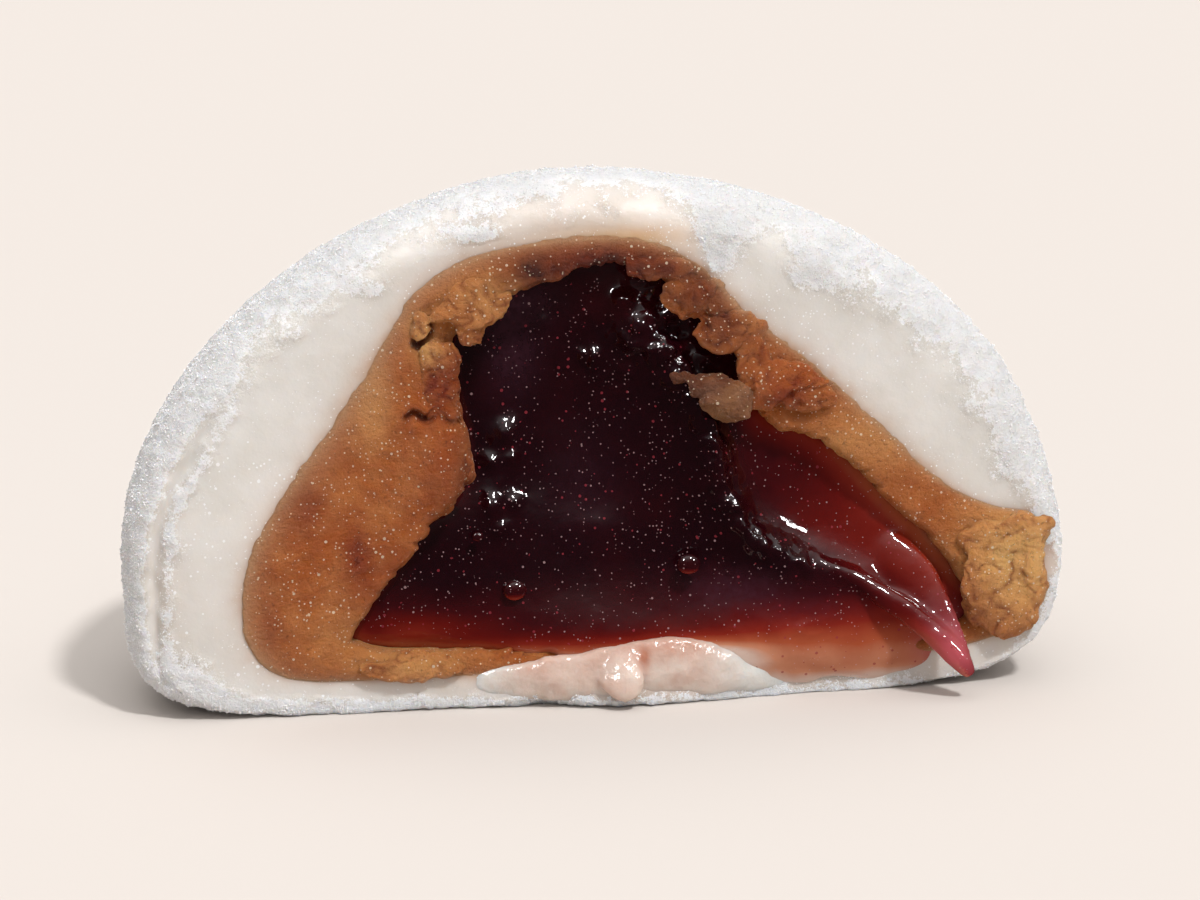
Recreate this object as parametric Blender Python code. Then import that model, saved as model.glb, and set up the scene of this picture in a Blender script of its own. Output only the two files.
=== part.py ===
"""Half of a round filled rice cake, cut through its middle and resting on its flat base.

A soft white skin wraps a layer of bean paste, and the paste wraps a dark jelly core that sags
out of the cut. Everything is worked out in millimetres in the frame of the cut: X runs along
the cut face, Y runs back from it into the cake, and Z rises from the floor.
"""

import math

import bmesh
import bpy
import numpy as np
from mathutils import Vector, noise

MM = 0.001

# Outer form of the cake
LEFT_REACH = 27.2
RIGHT_REACH = 29.2
WIDEST_LEVEL = 10.0
DOME_RISE = 21.8
BASE_DROP = 10.35
RIM_DEPTH = 3.0
BACK_REACH = 25.6
SIDE_BLEND = 0.4

# How square the outer form is, above and below its widest level: left side, then right side
UPPER_POWERS = (1.8, 2.0)
LOWER_POWERS = (6.0, 5.0)

# The lip of skin that stands out at the lower right of the cut
LIP_SWELL = 0.7
LIP_TURN = -3.0
LIP_SPREAD = 9.0
LIP_FADE = 6

# Swellings of the cut face of the skin: how far forward, the centre, and the half sizes
SKIN_SWELLINGS = (
    (0.5, (-22.0, 9.0), (5.0, 9.0)),
    (1.5, (2.8, 0.5), (7.0, 2.2)),
)

# Width of the rounded rim between the cut face and the outside, by the turn in degrees
RIM_WIDTHS = (
    (-170, 2.0), (-150, 1.0), (-120, 0.9), (-104, 1.7), (-98, 1.6), (-88, 0.8), (-50, 0.8),
    (-24, 0.7), (-5, 0.5), (6, 2.4), (25, 3.9), (60, 3.0), (90, 2.4), (135, 2.4), (170, 2.6),
)

# Centre that both fillings turn about, and the gap that touching pieces keep
FILLING_X = 3.0
FILLING_Z = 9.0
GAP = 0.3
THINNEST_PASTE = 0.9
SOCKET_MOUTH = 12.0

# Outline of the bean paste where the cut passes through it
PASTE_OUTLINE = (
    (-19.6, 4.0), (-20.3, 7.6), (-18.7, 12.2), (-14.7, 17.8), (-11.6, 22.8), (-9.5, 25.9),
    (-4.5, 28.0), (2.5, 28.4), (6.8, 26.8), (9.8, 23.6), (13.5, 20.7), (17.8, 16.7),
    (21.9, 12.9), (25.0, 11.3), (27.7, 10.5), (28.0, 7.2), (26.9, 4.2), (23.5, 2.7),
    (13.4, 1.8), (2.0, 2.3), (-8.0, 2.2), (-16.5, 2.3),
)
PASTE_DEPTH = 21.5

# Face of the paste: how far it stands forward of the cut, its swellings, and its crags
PASTE_FORWARD = 0.3
PASTE_SWELLINGS = (
    (0.9, (-9.0, 16.0), (3.0, 5.5)),
    (0.72, (-5.5, 26.0), (3.5, 2.0)),
    (0.4, (-15.5, 8.0), (5.0, 6.0)),
    (0.8, (26.0, 8.5), (2.6, 3.0)),
)
CRAG_SIZE = 3.2
CRAG_HEIGHT = 0.55
CRAG_SEED = 3.1

# Outline of the jelly core where the cut passes through it
JELLY_OUTLINE = (
    (-13.6, 4.4), (-11.2, 8.6), (-9.4, 11.2), (-7.5, 13.0), (-6.8, 16.0), (-7.5, 22.6),
    (-4.2, 25.0), (0.8, 27.0), (4.8, 25.6), (9.4, 21.8), (10.8, 17.4), (15.0, 15.2),
    (19.0, 11.8), (22.6, 7.8), (23.9, 4.6), (21.0, 3.3), (12.0, 3.0), (2.0, 3.6), (-5.5, 3.6),
)
JELLY_DEPTH = 14.0

# Face of the jelly: how far it lies behind the cut, its swellings, and its rolled edge
JELLY_BEHIND = 0.6
JELLY_SWELLINGS = (
    (-1.9, (-2.5, 19.5), (6.5, 8.0)),
    (-0.6, (13.0, 12.0), (4.5, 4.0)),
    (2.4, (13.5, 4.6), (9.5, 2.4)),
    (0.84, (-4.0, 6.0), (8.0, 3.0)),
)
JELLY_EDGE_ROLL = 0.7
ROLL_POWER = 6

# Ridge of jelly that runs down the cut to the drip: places with the radius there
RIDGE = (
    (2.0, 1.6, 24.3, 0.9), (4.4, 1.3, 22.0, 1.4), (6.4, 0.9, 19.4, 1.5), (7.8, 0.6, 16.2, 1.3),
    (8.9, 0.2, 12.8, 1.1), (10.8, -0.1, 9.8, 0.95), (13.6, -0.6, 8.1, 0.9), (17.0, -1.2, 6.5, 0.9),
    (19.6, -1.6, 5.1, 1.0), (21.6, -2.2, 3.7, 1.05), (22.9, -2.7, 2.4, 1.0), (23.7, -3.0, 1.6, 0.75),
    (24.1, -3.1, 1.2, 0.35),
)
RIDGE_STEPS = 3
RIDGE_SIDES = 2
WELD_DISTANCE = 0.0001

# Lobe of jelly that has sagged out over the foot of the cut: its centre and half sizes
LOBE_AT = (14.0, -1.9, 3.9)
LOBE_HALF = (9.2, 1.0, 2.3)
LOBE_TILT = math.radians(2)
LOBE_SEGMENTS = 24
LOBE_RINGS = 14

# Crumb of paste that sticks to the jelly
CRUMB_AT = (8.0, 19.0)
CRUMB_HALF = (1.55, 0.85, 1.35)
CRUMB_STANDS_OFF = 2.2
CRUMB_ROUGH = 0.22
CRUMB_GRAIN = 2.3

# How finely the forms are divided; rings lie closer towards the edge of a filling's face
SEGMENTS = 72
FACE_RINGS = 6
RIM_RINGS = 3
BACK_RINGS = 11
PASTE_RINGS = 10
JELLY_RINGS = 11
DEEP_RINGS = 7
RING_EASE = 0.8
CURVE_STEPS = 12
SHARP_ANGLE = math.radians(50)

# Centre of the base, which becomes the origin of the finished part
BASE_CENTRE = (1.33, 12.43)

# Plain finishes: colour, roughness, and clear coat
SKIN_FINISH = ((0.86, 0.83, 0.79), 0.55, 0.0)
PASTE_FINISH = ((0.42, 0.16, 0.045), 0.5, 0.3)
JELLY_FINISH = ((0.07, 0.006, 0.012), 0.08, 1.0)
CRUMB_FINISH = ((0.33, 0.17, 0.11), 0.6, 0.0)


def smooth_step(value, start, end):
    """0 before start and 1 after end, with an S-shaped rise between them."""
    part = np.clip((value - start) / (end - start), 0.0, 1.0)
    return part * part * (3.0 - 2.0 * part)


def swellings(across, up, mounds):
    """Sum of smooth mounds over the face of the cut, each with its height, centre and half sizes."""
    total = np.zeros_like(across)
    for height, (centre_x, centre_z), (half_x, half_z) in mounds:
        total += height * np.exp(-(((across - centre_x) / half_x) ** 2) - ((up - centre_z) / half_z) ** 2)
    return total


def curve_through(before, start, end, after, part):
    """A place on the Catmull-Rom span from start to end."""
    return 0.5 * (
        2 * start
        + (end - before) * part
        + (2 * before - 5 * start + 4 * end - after) * part**2
        + (3 * start - before - 3 * end + after) * part**3
    )


def closed_curve(points):
    """Points of a smooth closed curve through the given ones."""
    knots = np.array(points, float)
    before, after, beyond = (np.roll(knots, shift, axis=0) for shift in (1, -1, -2))
    parts = np.arange(CURVE_STEPS) / CURVE_STEPS
    spans = [curve_through(before, knots, after, beyond, part) for part in parts]
    return np.stack(spans, axis=1).reshape(-1, 2)


def outline_reach(points, turn):
    """Distance from the centre of the fillings to an outline, at each turn angle."""
    curve = closed_curve(points) - (FILLING_X, FILLING_Z)
    angles = np.degrees(np.arctan2(curve[:, 1], curve[:, 0]))
    order = np.argsort(angles)
    return np.interp(np.degrees(turn), angles[order], np.hypot(*curve.T)[order], period=360)


def paste_reach(turn):
    """Reach of the bean paste in the plane of the cut."""
    return outline_reach(PASTE_OUTLINE, turn)


def jelly_reach(turn):
    """Reach of the jelly, never so far that the paste round it gets too thin."""
    return np.minimum(outline_reach(JELLY_OUTLINE, turn), paste_reach(turn) - GAP - THINNEST_PASTE)


def outer_reach(direction, turn):
    """Distance from the heart of the cake to its outside: a superellipsoid, fuller below than above."""
    across, back, up = direction.T
    right = smooth_step(across, -SIDE_BLEND, SIDE_BLEND)
    side = LEFT_REACH + (RIGHT_REACH - LEFT_REACH) * right
    above = up > 0
    rise = np.where(above, DOME_RISE, BASE_DROP)
    power_left = np.where(above, UPPER_POWERS[0], LOWER_POWERS[0])
    power_right = np.where(above, UPPER_POWERS[1], LOWER_POWERS[1])
    power = power_left + (power_right - power_left) * right
    level = np.hypot(across / side, back / BACK_REACH)
    reach = (level**power + (np.abs(up) / rise) ** power) ** (-1 / power)
    lip = np.exp(-(((np.degrees(turn) - LIP_TURN) / LIP_SPREAD) ** 2)) * (1 - np.abs(back)) ** LIP_FADE
    return reach + LIP_SWELL * lip


def outer_places(turn, ring):
    """Outside of the cake: the cut face, the rounded rim, and the dome behind it, on a flat foot."""
    face = np.clip(ring / FACE_RINGS, 0, 1)
    rim = np.clip((ring - FACE_RINGS) / RIM_RINGS, 0, 1) * math.pi / 2
    lean = np.clip((ring - FACE_RINGS - RIM_RINGS) / BACK_RINGS, 0, 1) * math.pi / 2
    direction = np.stack(
        [np.cos(lean) * np.cos(turn), np.sin(lean), np.cos(lean) * np.sin(turn)], axis=1
    )
    turns, widths = np.array(RIM_WIDTHS, float).T
    width = np.interp(np.degrees(turn), turns, widths, period=360)
    reach = (outer_reach(direction, turn) - width * (1 - np.sin(rim))) * face
    places = direction * reach[:, None] + (0, RIM_DEPTH, WIDEST_LEVEL)
    forward = np.cos(rim) * np.cos(lean)
    places[:, 1] -= RIM_DEPTH * np.cos(rim)
    places[:, 1] -= swellings(places[:, 0], places[:, 2], SKIN_SWELLINGS) * forward
    places[:, 2] = np.maximum(places[:, 2], 0)
    return places


def paste_front(across, up):
    """How far back the cut face of the paste lies, with its torn edge and crags."""
    crags = [noise.noise(Vector((x / CRAG_SIZE, CRAG_SEED, z / CRAG_SIZE))) for x, z in zip(across, up)]
    return CRAG_HEIGHT * np.array(crags) - PASTE_FORWARD - swellings(across, up, PASTE_SWELLINGS)


def jelly_front(across, up):
    """How far back the face of the jelly lies: hollow at the upper left, swollen at the bottom."""
    return JELLY_BEHIND - swellings(across, up, JELLY_SWELLINGS)


def filling_places(turn, ring, reach, depth, front, roll, front_rings):
    """A filling: its face in the cut, a rolled edge, and a rounded back inside the cake."""
    face = np.clip(ring / front_rings, 0, 1) ** RING_EASE
    lean = np.clip((ring - front_rings) / DEEP_RINGS, 0, 1) * math.pi / 2
    across = reach * face * np.cos(turn)
    up = reach * face * np.sin(turn)
    edge = front(FILLING_X + across, FILLING_Z + up) + roll * face**ROLL_POWER
    back = edge + (depth - edge) * np.sin(lean)
    return np.stack([FILLING_X + across * np.cos(lean), back, FILLING_Z + up * np.cos(lean)], axis=1)


def paste_places(turn, ring):
    """Outside of the bean paste."""
    return filling_places(turn, ring, paste_reach(turn), PASTE_DEPTH, paste_front, 0.0, PASTE_RINGS)


def jelly_places(turn, ring):
    """Outside of the jelly core."""
    return filling_places(
        turn, ring, jelly_reach(turn), JELLY_DEPTH, jelly_front, JELLY_EDGE_ROLL, JELLY_RINGS
    )


def socket_places(turn, ring, reach, depth, front):
    """The room for a filling: its form grown by the gap, and carried straight out of the cut."""
    behind = np.maximum(ring - 1, 0)
    grown = reach(turn) + GAP
    places = filling_places(turn, behind, grown, depth + GAP, front, 0.0, 1)
    mouth = np.clip(ring, 0, 1) * grown
    before = ring <= 1
    places[before, 0] = (FILLING_X + mouth * np.cos(turn))[before]
    places[before, 1] = -SOCKET_MOUTH
    places[before, 2] = (FILLING_Z + mouth * np.sin(turn))[before]
    return places


def paste_socket(turn, ring):
    """The room in the skin that the paste fills."""
    return socket_places(turn, ring, paste_reach, PASTE_DEPTH, paste_front)


def jelly_socket(turn, ring):
    """The room in the paste that the jelly fills."""
    return socket_places(turn, ring, jelly_reach, JELLY_DEPTH, jelly_front)


def put(name, collection, built):
    """A finished bmesh as a smooth-shaded object of its collection."""
    mesh = bpy.data.meshes.new(name)
    built.to_mesh(mesh)
    built.free()
    mesh.shade_smooth()
    mesh.set_sharp_from_angle(angle=SHARP_ANGLE)
    piece = bpy.data.objects.new(name, mesh)
    collection.objects.link(piece)
    return piece


def ball(name, collection, rings, place):
    """A UV sphere with its poles on Y, each ring of which is moved to its place."""
    sphere = bmesh.new()
    bmesh.ops.create_uvsphere(sphere, u_segments=SEGMENTS, v_segments=rings, radius=1.0)
    points = np.array([vert.co for vert in sphere.verts])
    turn = np.arctan2(points[:, 1], points[:, 0])
    ring = np.round(np.arccos(np.clip(points[:, 2], -1, 1)) / math.pi * rings)
    for vert, at in zip(sphere.verts, place(turn, ring)):
        vert.co = Vector(at) * MM
    bmesh.ops.recalc_face_normals(sphere, faces=sphere.faces)
    return put(name, collection, sphere)


def material(name, finish):
    """A plain material from its colour, roughness and clear coat."""
    colour, roughness, coat = finish
    plain = bpy.data.materials.new(name)
    plain.use_nodes = True
    shader = plain.node_tree.nodes["Principled BSDF"]
    shader.inputs["Base Color"].default_value = (*colour, 1.0)
    shader.inputs["Roughness"].default_value = roughness
    shader.inputs["Coat Weight"].default_value = coat
    return plain


def combine(piece, other, operation):
    """One Boolean between a piece and another object, kept as a live modifier."""
    step = piece.modifiers.new(f"{operation.lower()} {other.name}", "BOOLEAN")
    step.operation = operation
    step.object = other
    step.solver = "EXACT"
    other.hide_render = True
    other.display_type = "WIRE"


def ridge_route():
    """Places and radii along the ridge, on a smooth curve through its knots."""
    knots = np.array(RIDGE)
    stations = np.linspace(0, len(knots) - 1, (len(knots) - 1) * RIDGE_STEPS + 1)
    padded = np.vstack([2 * knots[0] - knots[1], knots, 2 * knots[-1] - knots[-2]])
    whole = np.minimum(stations.astype(int), len(knots) - 2)
    part = (stations - whole)[:, None]
    return curve_through(*(padded[whole + step] for step in range(4)), part)


def ridge_tube(collection):
    """The ridge and its drip: a smooth tapering tube, as a welded mesh."""
    curve = bpy.data.curves.new("ridge path", "CURVE")
    curve.dimensions = "3D"
    curve.bevel_depth = MM
    curve.bevel_resolution = RIDGE_SIDES
    curve.use_fill_caps = True
    route = ridge_route()
    spline = curve.splines.new("POLY")
    spline.points.add(len(route) - 1)
    for point, (across, back, up, radius) in zip(spline.points, route):
        point.co = (across * MM, back * MM, up * MM, 1.0)
        point.radius = radius
    guide = bpy.data.objects.new("ridge path", curve)
    collection.objects.link(guide)
    bpy.context.view_layer.update()
    graph = bpy.context.evaluated_depsgraph_get()
    mesh = bpy.data.meshes.new_from_object(guide.evaluated_get(graph))
    bpy.data.objects.remove(guide)
    welded = bmesh.new()
    welded.from_mesh(mesh)
    bmesh.ops.remove_doubles(welded, verts=welded.verts, dist=WELD_DISTANCE * MM)
    bmesh.ops.recalc_face_normals(welded, faces=welded.faces)
    bpy.data.meshes.remove(mesh)
    return put("ridge", collection, welded)


def sagged_lobe(collection):
    """The lobe that hangs before the foot of the cut: a flattened ball."""
    lobe = bmesh.new()
    bmesh.ops.create_uvsphere(lobe, u_segments=LOBE_SEGMENTS, v_segments=LOBE_RINGS, radius=1.0)
    for vert in lobe.verts:
        across, back, up = (half * side for half, side in zip(LOBE_HALF, vert.co))
        vert.co = (Vector(LOBE_AT) + Vector((across, back, up - across * math.sin(LOBE_TILT)))) * MM
    return put("lobe", collection, lobe)


def crumb(name, collection):
    """A rough crumb of paste, just off the face of the jelly."""
    across, up = CRUMB_AT
    nearest = jelly_front(np.array([across]), np.array([up]))[0]
    centre = Vector((across, nearest - CRUMB_STANDS_OFF, up))
    lump = bmesh.new()
    bmesh.ops.create_icosphere(lump, subdivisions=2, radius=1.0)
    for vert in lump.verts:
        swell = 1 + CRUMB_ROUGH * noise.noise(vert.co * CRUMB_GRAIN)
        vert.co = (centre + Vector(half * side * swell for half, side in zip(CRUMB_HALF, vert.co))) * MM
    return put(name, collection, lump)


def build():
    """Every piece of the cake, hung on an empty at the centre of its base."""
    for old in list(bpy.data.objects):
        bpy.data.objects.remove(old)
    cake = bpy.data.collections.new("filled rice cake half")
    helpers = bpy.data.collections.new("cutters")
    for collection in (cake, helpers):
        bpy.context.scene.collection.children.link(collection)
    helpers.hide_render = True

    skin = ball("mochi_skin", cake, FACE_RINGS + RIM_RINGS + BACK_RINGS, outer_places)
    paste = ball("bean_paste", cake, PASTE_RINGS + DEEP_RINGS, paste_places)
    jelly = ball("jelly_core", cake, JELLY_RINGS + DEEP_RINGS, jelly_places)
    lump = crumb("paste_crumb", cake)
    combine(skin, ball("paste socket", helpers, 2 + DEEP_RINGS, paste_socket), "DIFFERENCE")
    combine(paste, ball("jelly socket", helpers, 2 + DEEP_RINGS, jelly_socket), "DIFFERENCE")
    combine(jelly, sagged_lobe(helpers), "UNION")
    combine(jelly, ridge_tube(helpers), "UNION")

    skin.data.materials.append(material("rice skin", SKIN_FINISH))
    paste.data.materials.append(material("bean paste", PASTE_FINISH))
    jelly.data.materials.append(material("dark jelly", JELLY_FINISH))
    lump.data.materials.append(material("paste crumb", CRUMB_FINISH))

    heart = bpy.data.objects.new("base centre", None)
    heart.location = (-BASE_CENTRE[0] * MM, -BASE_CENTRE[1] * MM, 0)
    cake.objects.link(heart)
    for piece in list(cake.objects) + list(helpers.objects):
        if piece is not heart:
            piece.parent = heart


build()
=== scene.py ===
"""Half of a filled rice cake as it looks: floury skin, moist bean paste and wet dark jelly.

Shapes are worked out in millimetres in the frame of the cut: X runs along the cut face, Y runs
back from it into the cake, and Z rises from the floor. CutFrame turns them into metres in the
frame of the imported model.
"""

import logging
import math
from dataclasses import dataclass, field
from enum import Enum

import bpy
import numpy as np
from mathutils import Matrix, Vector


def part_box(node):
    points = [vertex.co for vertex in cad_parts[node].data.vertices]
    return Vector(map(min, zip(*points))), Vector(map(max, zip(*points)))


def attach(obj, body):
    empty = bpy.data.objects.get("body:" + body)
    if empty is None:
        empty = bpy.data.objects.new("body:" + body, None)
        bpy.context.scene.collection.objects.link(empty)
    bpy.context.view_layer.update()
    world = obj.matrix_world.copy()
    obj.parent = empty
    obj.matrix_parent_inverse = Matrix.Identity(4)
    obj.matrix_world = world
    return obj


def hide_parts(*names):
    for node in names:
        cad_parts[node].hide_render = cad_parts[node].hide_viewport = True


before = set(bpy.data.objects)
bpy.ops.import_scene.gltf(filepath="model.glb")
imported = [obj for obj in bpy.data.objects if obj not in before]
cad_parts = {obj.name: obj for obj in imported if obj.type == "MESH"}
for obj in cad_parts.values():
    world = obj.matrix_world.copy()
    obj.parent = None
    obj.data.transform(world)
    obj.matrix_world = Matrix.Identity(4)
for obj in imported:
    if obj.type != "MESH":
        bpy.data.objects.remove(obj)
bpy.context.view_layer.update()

Array = np.ndarray
Pair = tuple[float, float]
Triple = tuple[float, float, float]
FourRows = tuple[tuple[float, float, float, float], ...]
Mounds = tuple[tuple[float, Pair, Pair], ...]
MM = 0.001
TILT = np.linalg.qr(np.array([[0.8, 0.5, -0.3], [-0.4, 0.9, 0.2], [0.5, -0.1, 0.8]]))[0]
LOG = logging.getLogger("rice cake")


class Node(Enum):
    """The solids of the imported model."""

    SKIN = "mochi_skin"
    PASTE = "bean_paste"
    JELLY = "jelly_core"
    CRUMB = "paste_crumb"


class Slot(Enum):
    """The record's finishes."""

    SKIN = "rice_skin"
    PASTE = "bean_paste"
    JELLY = "dark_jelly"
    CRUMB = "paste_crumb"


# Easing, mounds and noise


def smooth_step(value: Array, start: float, end: float) -> Array:
    """0 before start and 1 after end, with an S-shaped rise between them."""
    part = np.clip((value - start) / (end - start), 0.0, 1.0)
    return part * part * (3.0 - 2.0 * part)


def mound(across: Array, up: Array, centre: Pair, half: Pair) -> Array:
    """A smooth mound of height 1 over the face of the cut, by the normal curve in both directions."""
    return np.exp(-(((across - centre[0]) / half[0]) ** 2) - ((up - centre[1]) / half[1]) ** 2)


def mounds(across: Array, up: Array, table: Mounds) -> Array:
    """Sum of smooth mounds, each with its height, centre and half sizes."""
    total = np.zeros(np.broadcast(across, up).shape)
    for height, centre, half in table:
        total += height * mound(across, up, centre, half)
    return total


def lattice_noise(points: Array, size: float, seed: int) -> Array:
    """Smooth noise: random heights at the corners of a tilted cubic lattice, eased between them.

    Args:
        points: places in millimetres, one row each.
        size: side of a lattice cell in millimetres.
        seed: which random heights to use.

    Returns:
        One value from -1 to 1 for each place.
    """
    scaled = points @ TILT / size + 1000.0
    cell = np.floor(scaled).astype(np.int64)
    part = scaled - cell
    ease = part * part * (3.0 - 2.0 * part)
    total = np.zeros(len(points))
    for corner in range(8):
        step = np.array([corner & 1, (corner >> 1) & 1, corner >> 2])
        key = ((cell + step) * np.array([73856093, 19349663, 83492791])).sum(axis=1) + seed * 2654435761
        key = (key ^ (key >> 13)) * 1274126177 & 0x7FFFFFFF
        key = (key ^ (key >> 16)) * 1911520717 & 0x7FFFFFFF
        height = (key >> 7 & 0xFFFF) / 32767.5 - 1.0
        weight = np.where(step == 1, ease, 1.0 - ease).prod(axis=1)
        total += height * weight
    return total


def layered_noise(points: Array, size: float, seed: int, layers: int = 3, fade: float = 0.5) -> Array:
    """Lattice noise in layers, each half as wide as the one before and weaker by the fade."""
    total = np.zeros(len(points))
    reach = 0.0
    for layer in range(layers):
        total += fade**layer * lattice_noise(points + 17.3 * layer, size / 2**layer, seed + layer)
        reach += fade**layer
    return total / reach


def wrinkle_noise(points: Array, size: float, seed: int) -> Array:
    """Sharp-crested noise from 0 to 1: two layers, each folded where it crosses its middle."""
    wide = 1 - np.abs(lattice_noise(points, size, seed)) * 2.2
    fine = 1 - np.abs(lattice_noise(points + 9.1, size / 2, seed + 1)) * 2.2
    return np.clip(0.65 * wide + 0.35 * fine, 0, 1)


# Meshes


@dataclass(frozen=True)
class CutFrame:
    """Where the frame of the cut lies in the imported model."""

    shift: Pair

    def to_model(self, places: Array) -> Array:
        """Places in metres in the model's frame."""
        return (places + (self.shift[0], self.shift[1], 0.0)) * MM

    def to_cut(self, places: Array) -> Array:
        """Places in millimetres in the frame of the cut."""
        return places / MM - (self.shift[0], self.shift[1], 0.0)


@dataclass
class Form:
    """Points of one or more closed forms in millimetres, with their faces."""

    points: Array
    quads: Array
    triangles: Array

    @classmethod
    def from_rings(cls, rings: Array) -> "Form":
        """A closed form from a grid of rings, with a pole in the middle of the first and the last."""
        count, segments = rings.shape[:2]
        front = rings[0].mean(axis=0, keepdims=True)
        back = rings[-1].mean(axis=0, keepdims=True)
        points = np.concatenate([front, rings.reshape(-1, 3), back])
        ring, turn = np.meshgrid(np.arange(count - 1), np.arange(segments), indexing="ij")
        here = 1 + ring * segments + turn
        beside = 1 + ring * segments + (turn + 1) % segments
        quads = np.stack([here, here + segments, beside + segments, beside], axis=-1).reshape(-1, 4)
        turns = np.arange(segments)
        after = (turns + 1) % segments
        last = 1 + (count - 1) * segments
        cap = np.stack([np.zeros(segments, int), 1 + turns, 1 + after], axis=1)
        end = np.stack([np.full(segments, last + segments), last + after, last + turns], axis=1)
        return cls(points, quads, np.concatenate([cap, end]))

    @classmethod
    def join(cls, forms: list["Form"]) -> "Form":
        """Several forms as one."""
        starts = np.cumsum([0] + [len(form.points) for form in forms[:-1]])
        return cls(
            np.concatenate([form.points for form in forms]),
            np.concatenate([form.quads + start for form, start in zip(forms, starts)]),
            np.concatenate([form.triangles + start for form, start in zip(forms, starts)]),
        )

    def to_mesh(self, name: str, where: CutFrame, smooth: bool = True) -> bpy.types.Mesh:
        """The form as a mesh in metres in the model's frame."""
        mesh = bpy.data.meshes.new(name)
        places = where.to_model(self.points)
        mesh.vertices.add(len(places))
        mesh.vertices.foreach_set("co", np.ascontiguousarray(places, np.float32).ravel())
        corners = np.concatenate([self.quads.ravel(), self.triangles.ravel()]).astype(np.int32)
        mesh.loops.add(len(corners))
        mesh.loops.foreach_set("vertex_index", corners)
        sides = np.concatenate([np.full(len(self.quads), 4), np.full(len(self.triangles), 3)])
        mesh.polygons.add(len(sides))
        starts = np.concatenate([[0], np.cumsum(sides)[:-1]]).astype(np.int32)
        mesh.polygons.foreach_set("loop_start", starts)
        mesh.update(calc_edges=True)
        mesh.validate()
        if smooth:
            mesh.shade_smooth()
        else:
            mesh.shade_flat()
        return mesh


def ring_normals(rings: Array) -> Array:
    """Unit normals of a grid of rings, from the steps along and across them."""
    along = np.gradient(rings, axis=0)
    across = np.roll(rings, -1, axis=1) - np.roll(rings, 1, axis=1)
    normal = np.cross(along, across)
    return normal / np.maximum(np.linalg.norm(normal, axis=2, keepdims=True), 1e-9)


def swell_rings(rings: Array, lift: Array) -> Array:
    """Rings moved along their normals by a lift in millimetres at each place."""
    return rings + ring_normals(rings) * lift.reshape(rings.shape[:2])[..., None]


def sphere_sides(rings: int, segments: int) -> Array:
    """Unit directions over a sphere with its poles on Y, in rings from front to back."""
    lean = np.linspace(0, math.pi, rings + 2)[1:-1, None]
    turn = np.linspace(0, 2 * math.pi, segments, endpoint=False)[None, :]
    parts = np.broadcast_arrays(np.sin(lean) * np.cos(turn), -np.cos(lean), np.sin(lean) * np.sin(turn))
    return np.stack(parts, axis=-1)


def soft_ball(centre: Triple, half: Triple, rough: float, seed: int, segments: int = 40) -> Array:
    """Rings of a flattened ball, a little swollen and dented by noise."""
    sides = sphere_sides(segments // 2, segments)
    swell = 1 + rough * layered_noise(sides.reshape(-1, 3), 0.9, seed).reshape(sides.shape[:2])
    return np.asarray(centre) + np.asarray(half) * sides * swell[..., None]


def broken_lump(centre: Triple, half: Triple, seed: int, segments: int = 44, flats: int = 15) -> Array:
    """Rings of an angular lump: a ball cut by random planes whose edges are softened.

    The reach in each direction is the softened least distance to the planes, by a power mean.
    """
    draw = np.random.default_rng(seed)
    planes = draw.normal(size=(flats, 3))
    planes /= np.linalg.norm(planes, axis=1, keepdims=True)
    depth = draw.uniform(0.72, 1.0, flats)
    sides = sphere_sides(segments // 2, segments)
    towards = np.maximum(sides @ planes.T, 0) / depth
    reach = np.minimum((towards**9).sum(axis=-1) ** (-1 / 9), 1.25)
    rough = 1 + 0.10 * layered_noise(sides.reshape(-1, 3), 0.5, seed).reshape(reach.shape)
    return np.asarray(centre) + np.asarray(half) * sides * (reach * rough)[..., None]


def flow_through(knots: Array, steps: int) -> Array:
    """A smooth open curve, of Catmull-Rom spans, through the knots."""
    stations = np.linspace(0, len(knots) - 1, (len(knots) - 1) * steps + 1)
    padded = np.vstack([2 * knots[0] - knots[1], knots, 2 * knots[-1] - knots[-2]])
    whole = np.minimum(stations.astype(int), len(knots) - 2)
    part = (stations - whole)[:, None]
    before, start, end, after = (padded[whole + step] for step in range(4))
    return 0.5 * (
        2 * start
        + (end - before) * part
        + (2 * before - 5 * start + 4 * end - after) * part**2
        + (3 * start - before - 3 * end + after) * part**3
    )


def tube_rings(knots: Array, flat: float = 1.0, segments: int = 24) -> Array:
    """Rings of a tube round a smooth route; the fourth value of each knot is the radius there.

    The tube's thickness from front to back is its width times flat.
    """
    route = flow_through(knots, 6)
    along = np.gradient(route[:, :3], axis=0)
    along /= np.linalg.norm(along, axis=1, keepdims=True)
    side = np.cross(along, (0.0, 1.0, 0.0))
    side /= np.linalg.norm(side, axis=1, keepdims=True)
    other = np.cross(side, along)
    turn = np.linspace(0, 2 * math.pi, segments, endpoint=False)[None, :, None]
    circle = side[:, None] * np.cos(turn) + flat * other[:, None] * np.sin(turn)
    return route[:, None, :3] + circle * route[:, None, 3:]


def beside_route(places: Array, route: Array) -> tuple[Array, Array, Array]:
    """Where each place on the face lies beside a route.

    Args:
        places: X and Z, one row each.
        route: X and Z along the route, one row each.

    Returns:
        The distance to the route, its side (1 to the left of the way it runs, else -1), and how
        far along the route the nearest point lies, from 0 to 1.
    """
    start, step = route[:-1], np.diff(route, axis=0)
    offset = places[:, None] - start[None]
    part = np.clip((offset * step).sum(axis=2) / (step**2).sum(axis=1), 0, 1)
    gap = offset - part[..., None] * step[None]
    distance = np.linalg.norm(gap, axis=2)
    nearest = distance.argmin(axis=1)
    rows = np.arange(len(places))
    turn = step[nearest, 0] * gap[rows, nearest, 1] - step[nearest, 1] * gap[rows, nearest, 0]
    return distance[rows, nearest], np.where(turn > 0, 1.0, -1.0), (nearest + part[rows, nearest]) / len(step)


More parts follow.
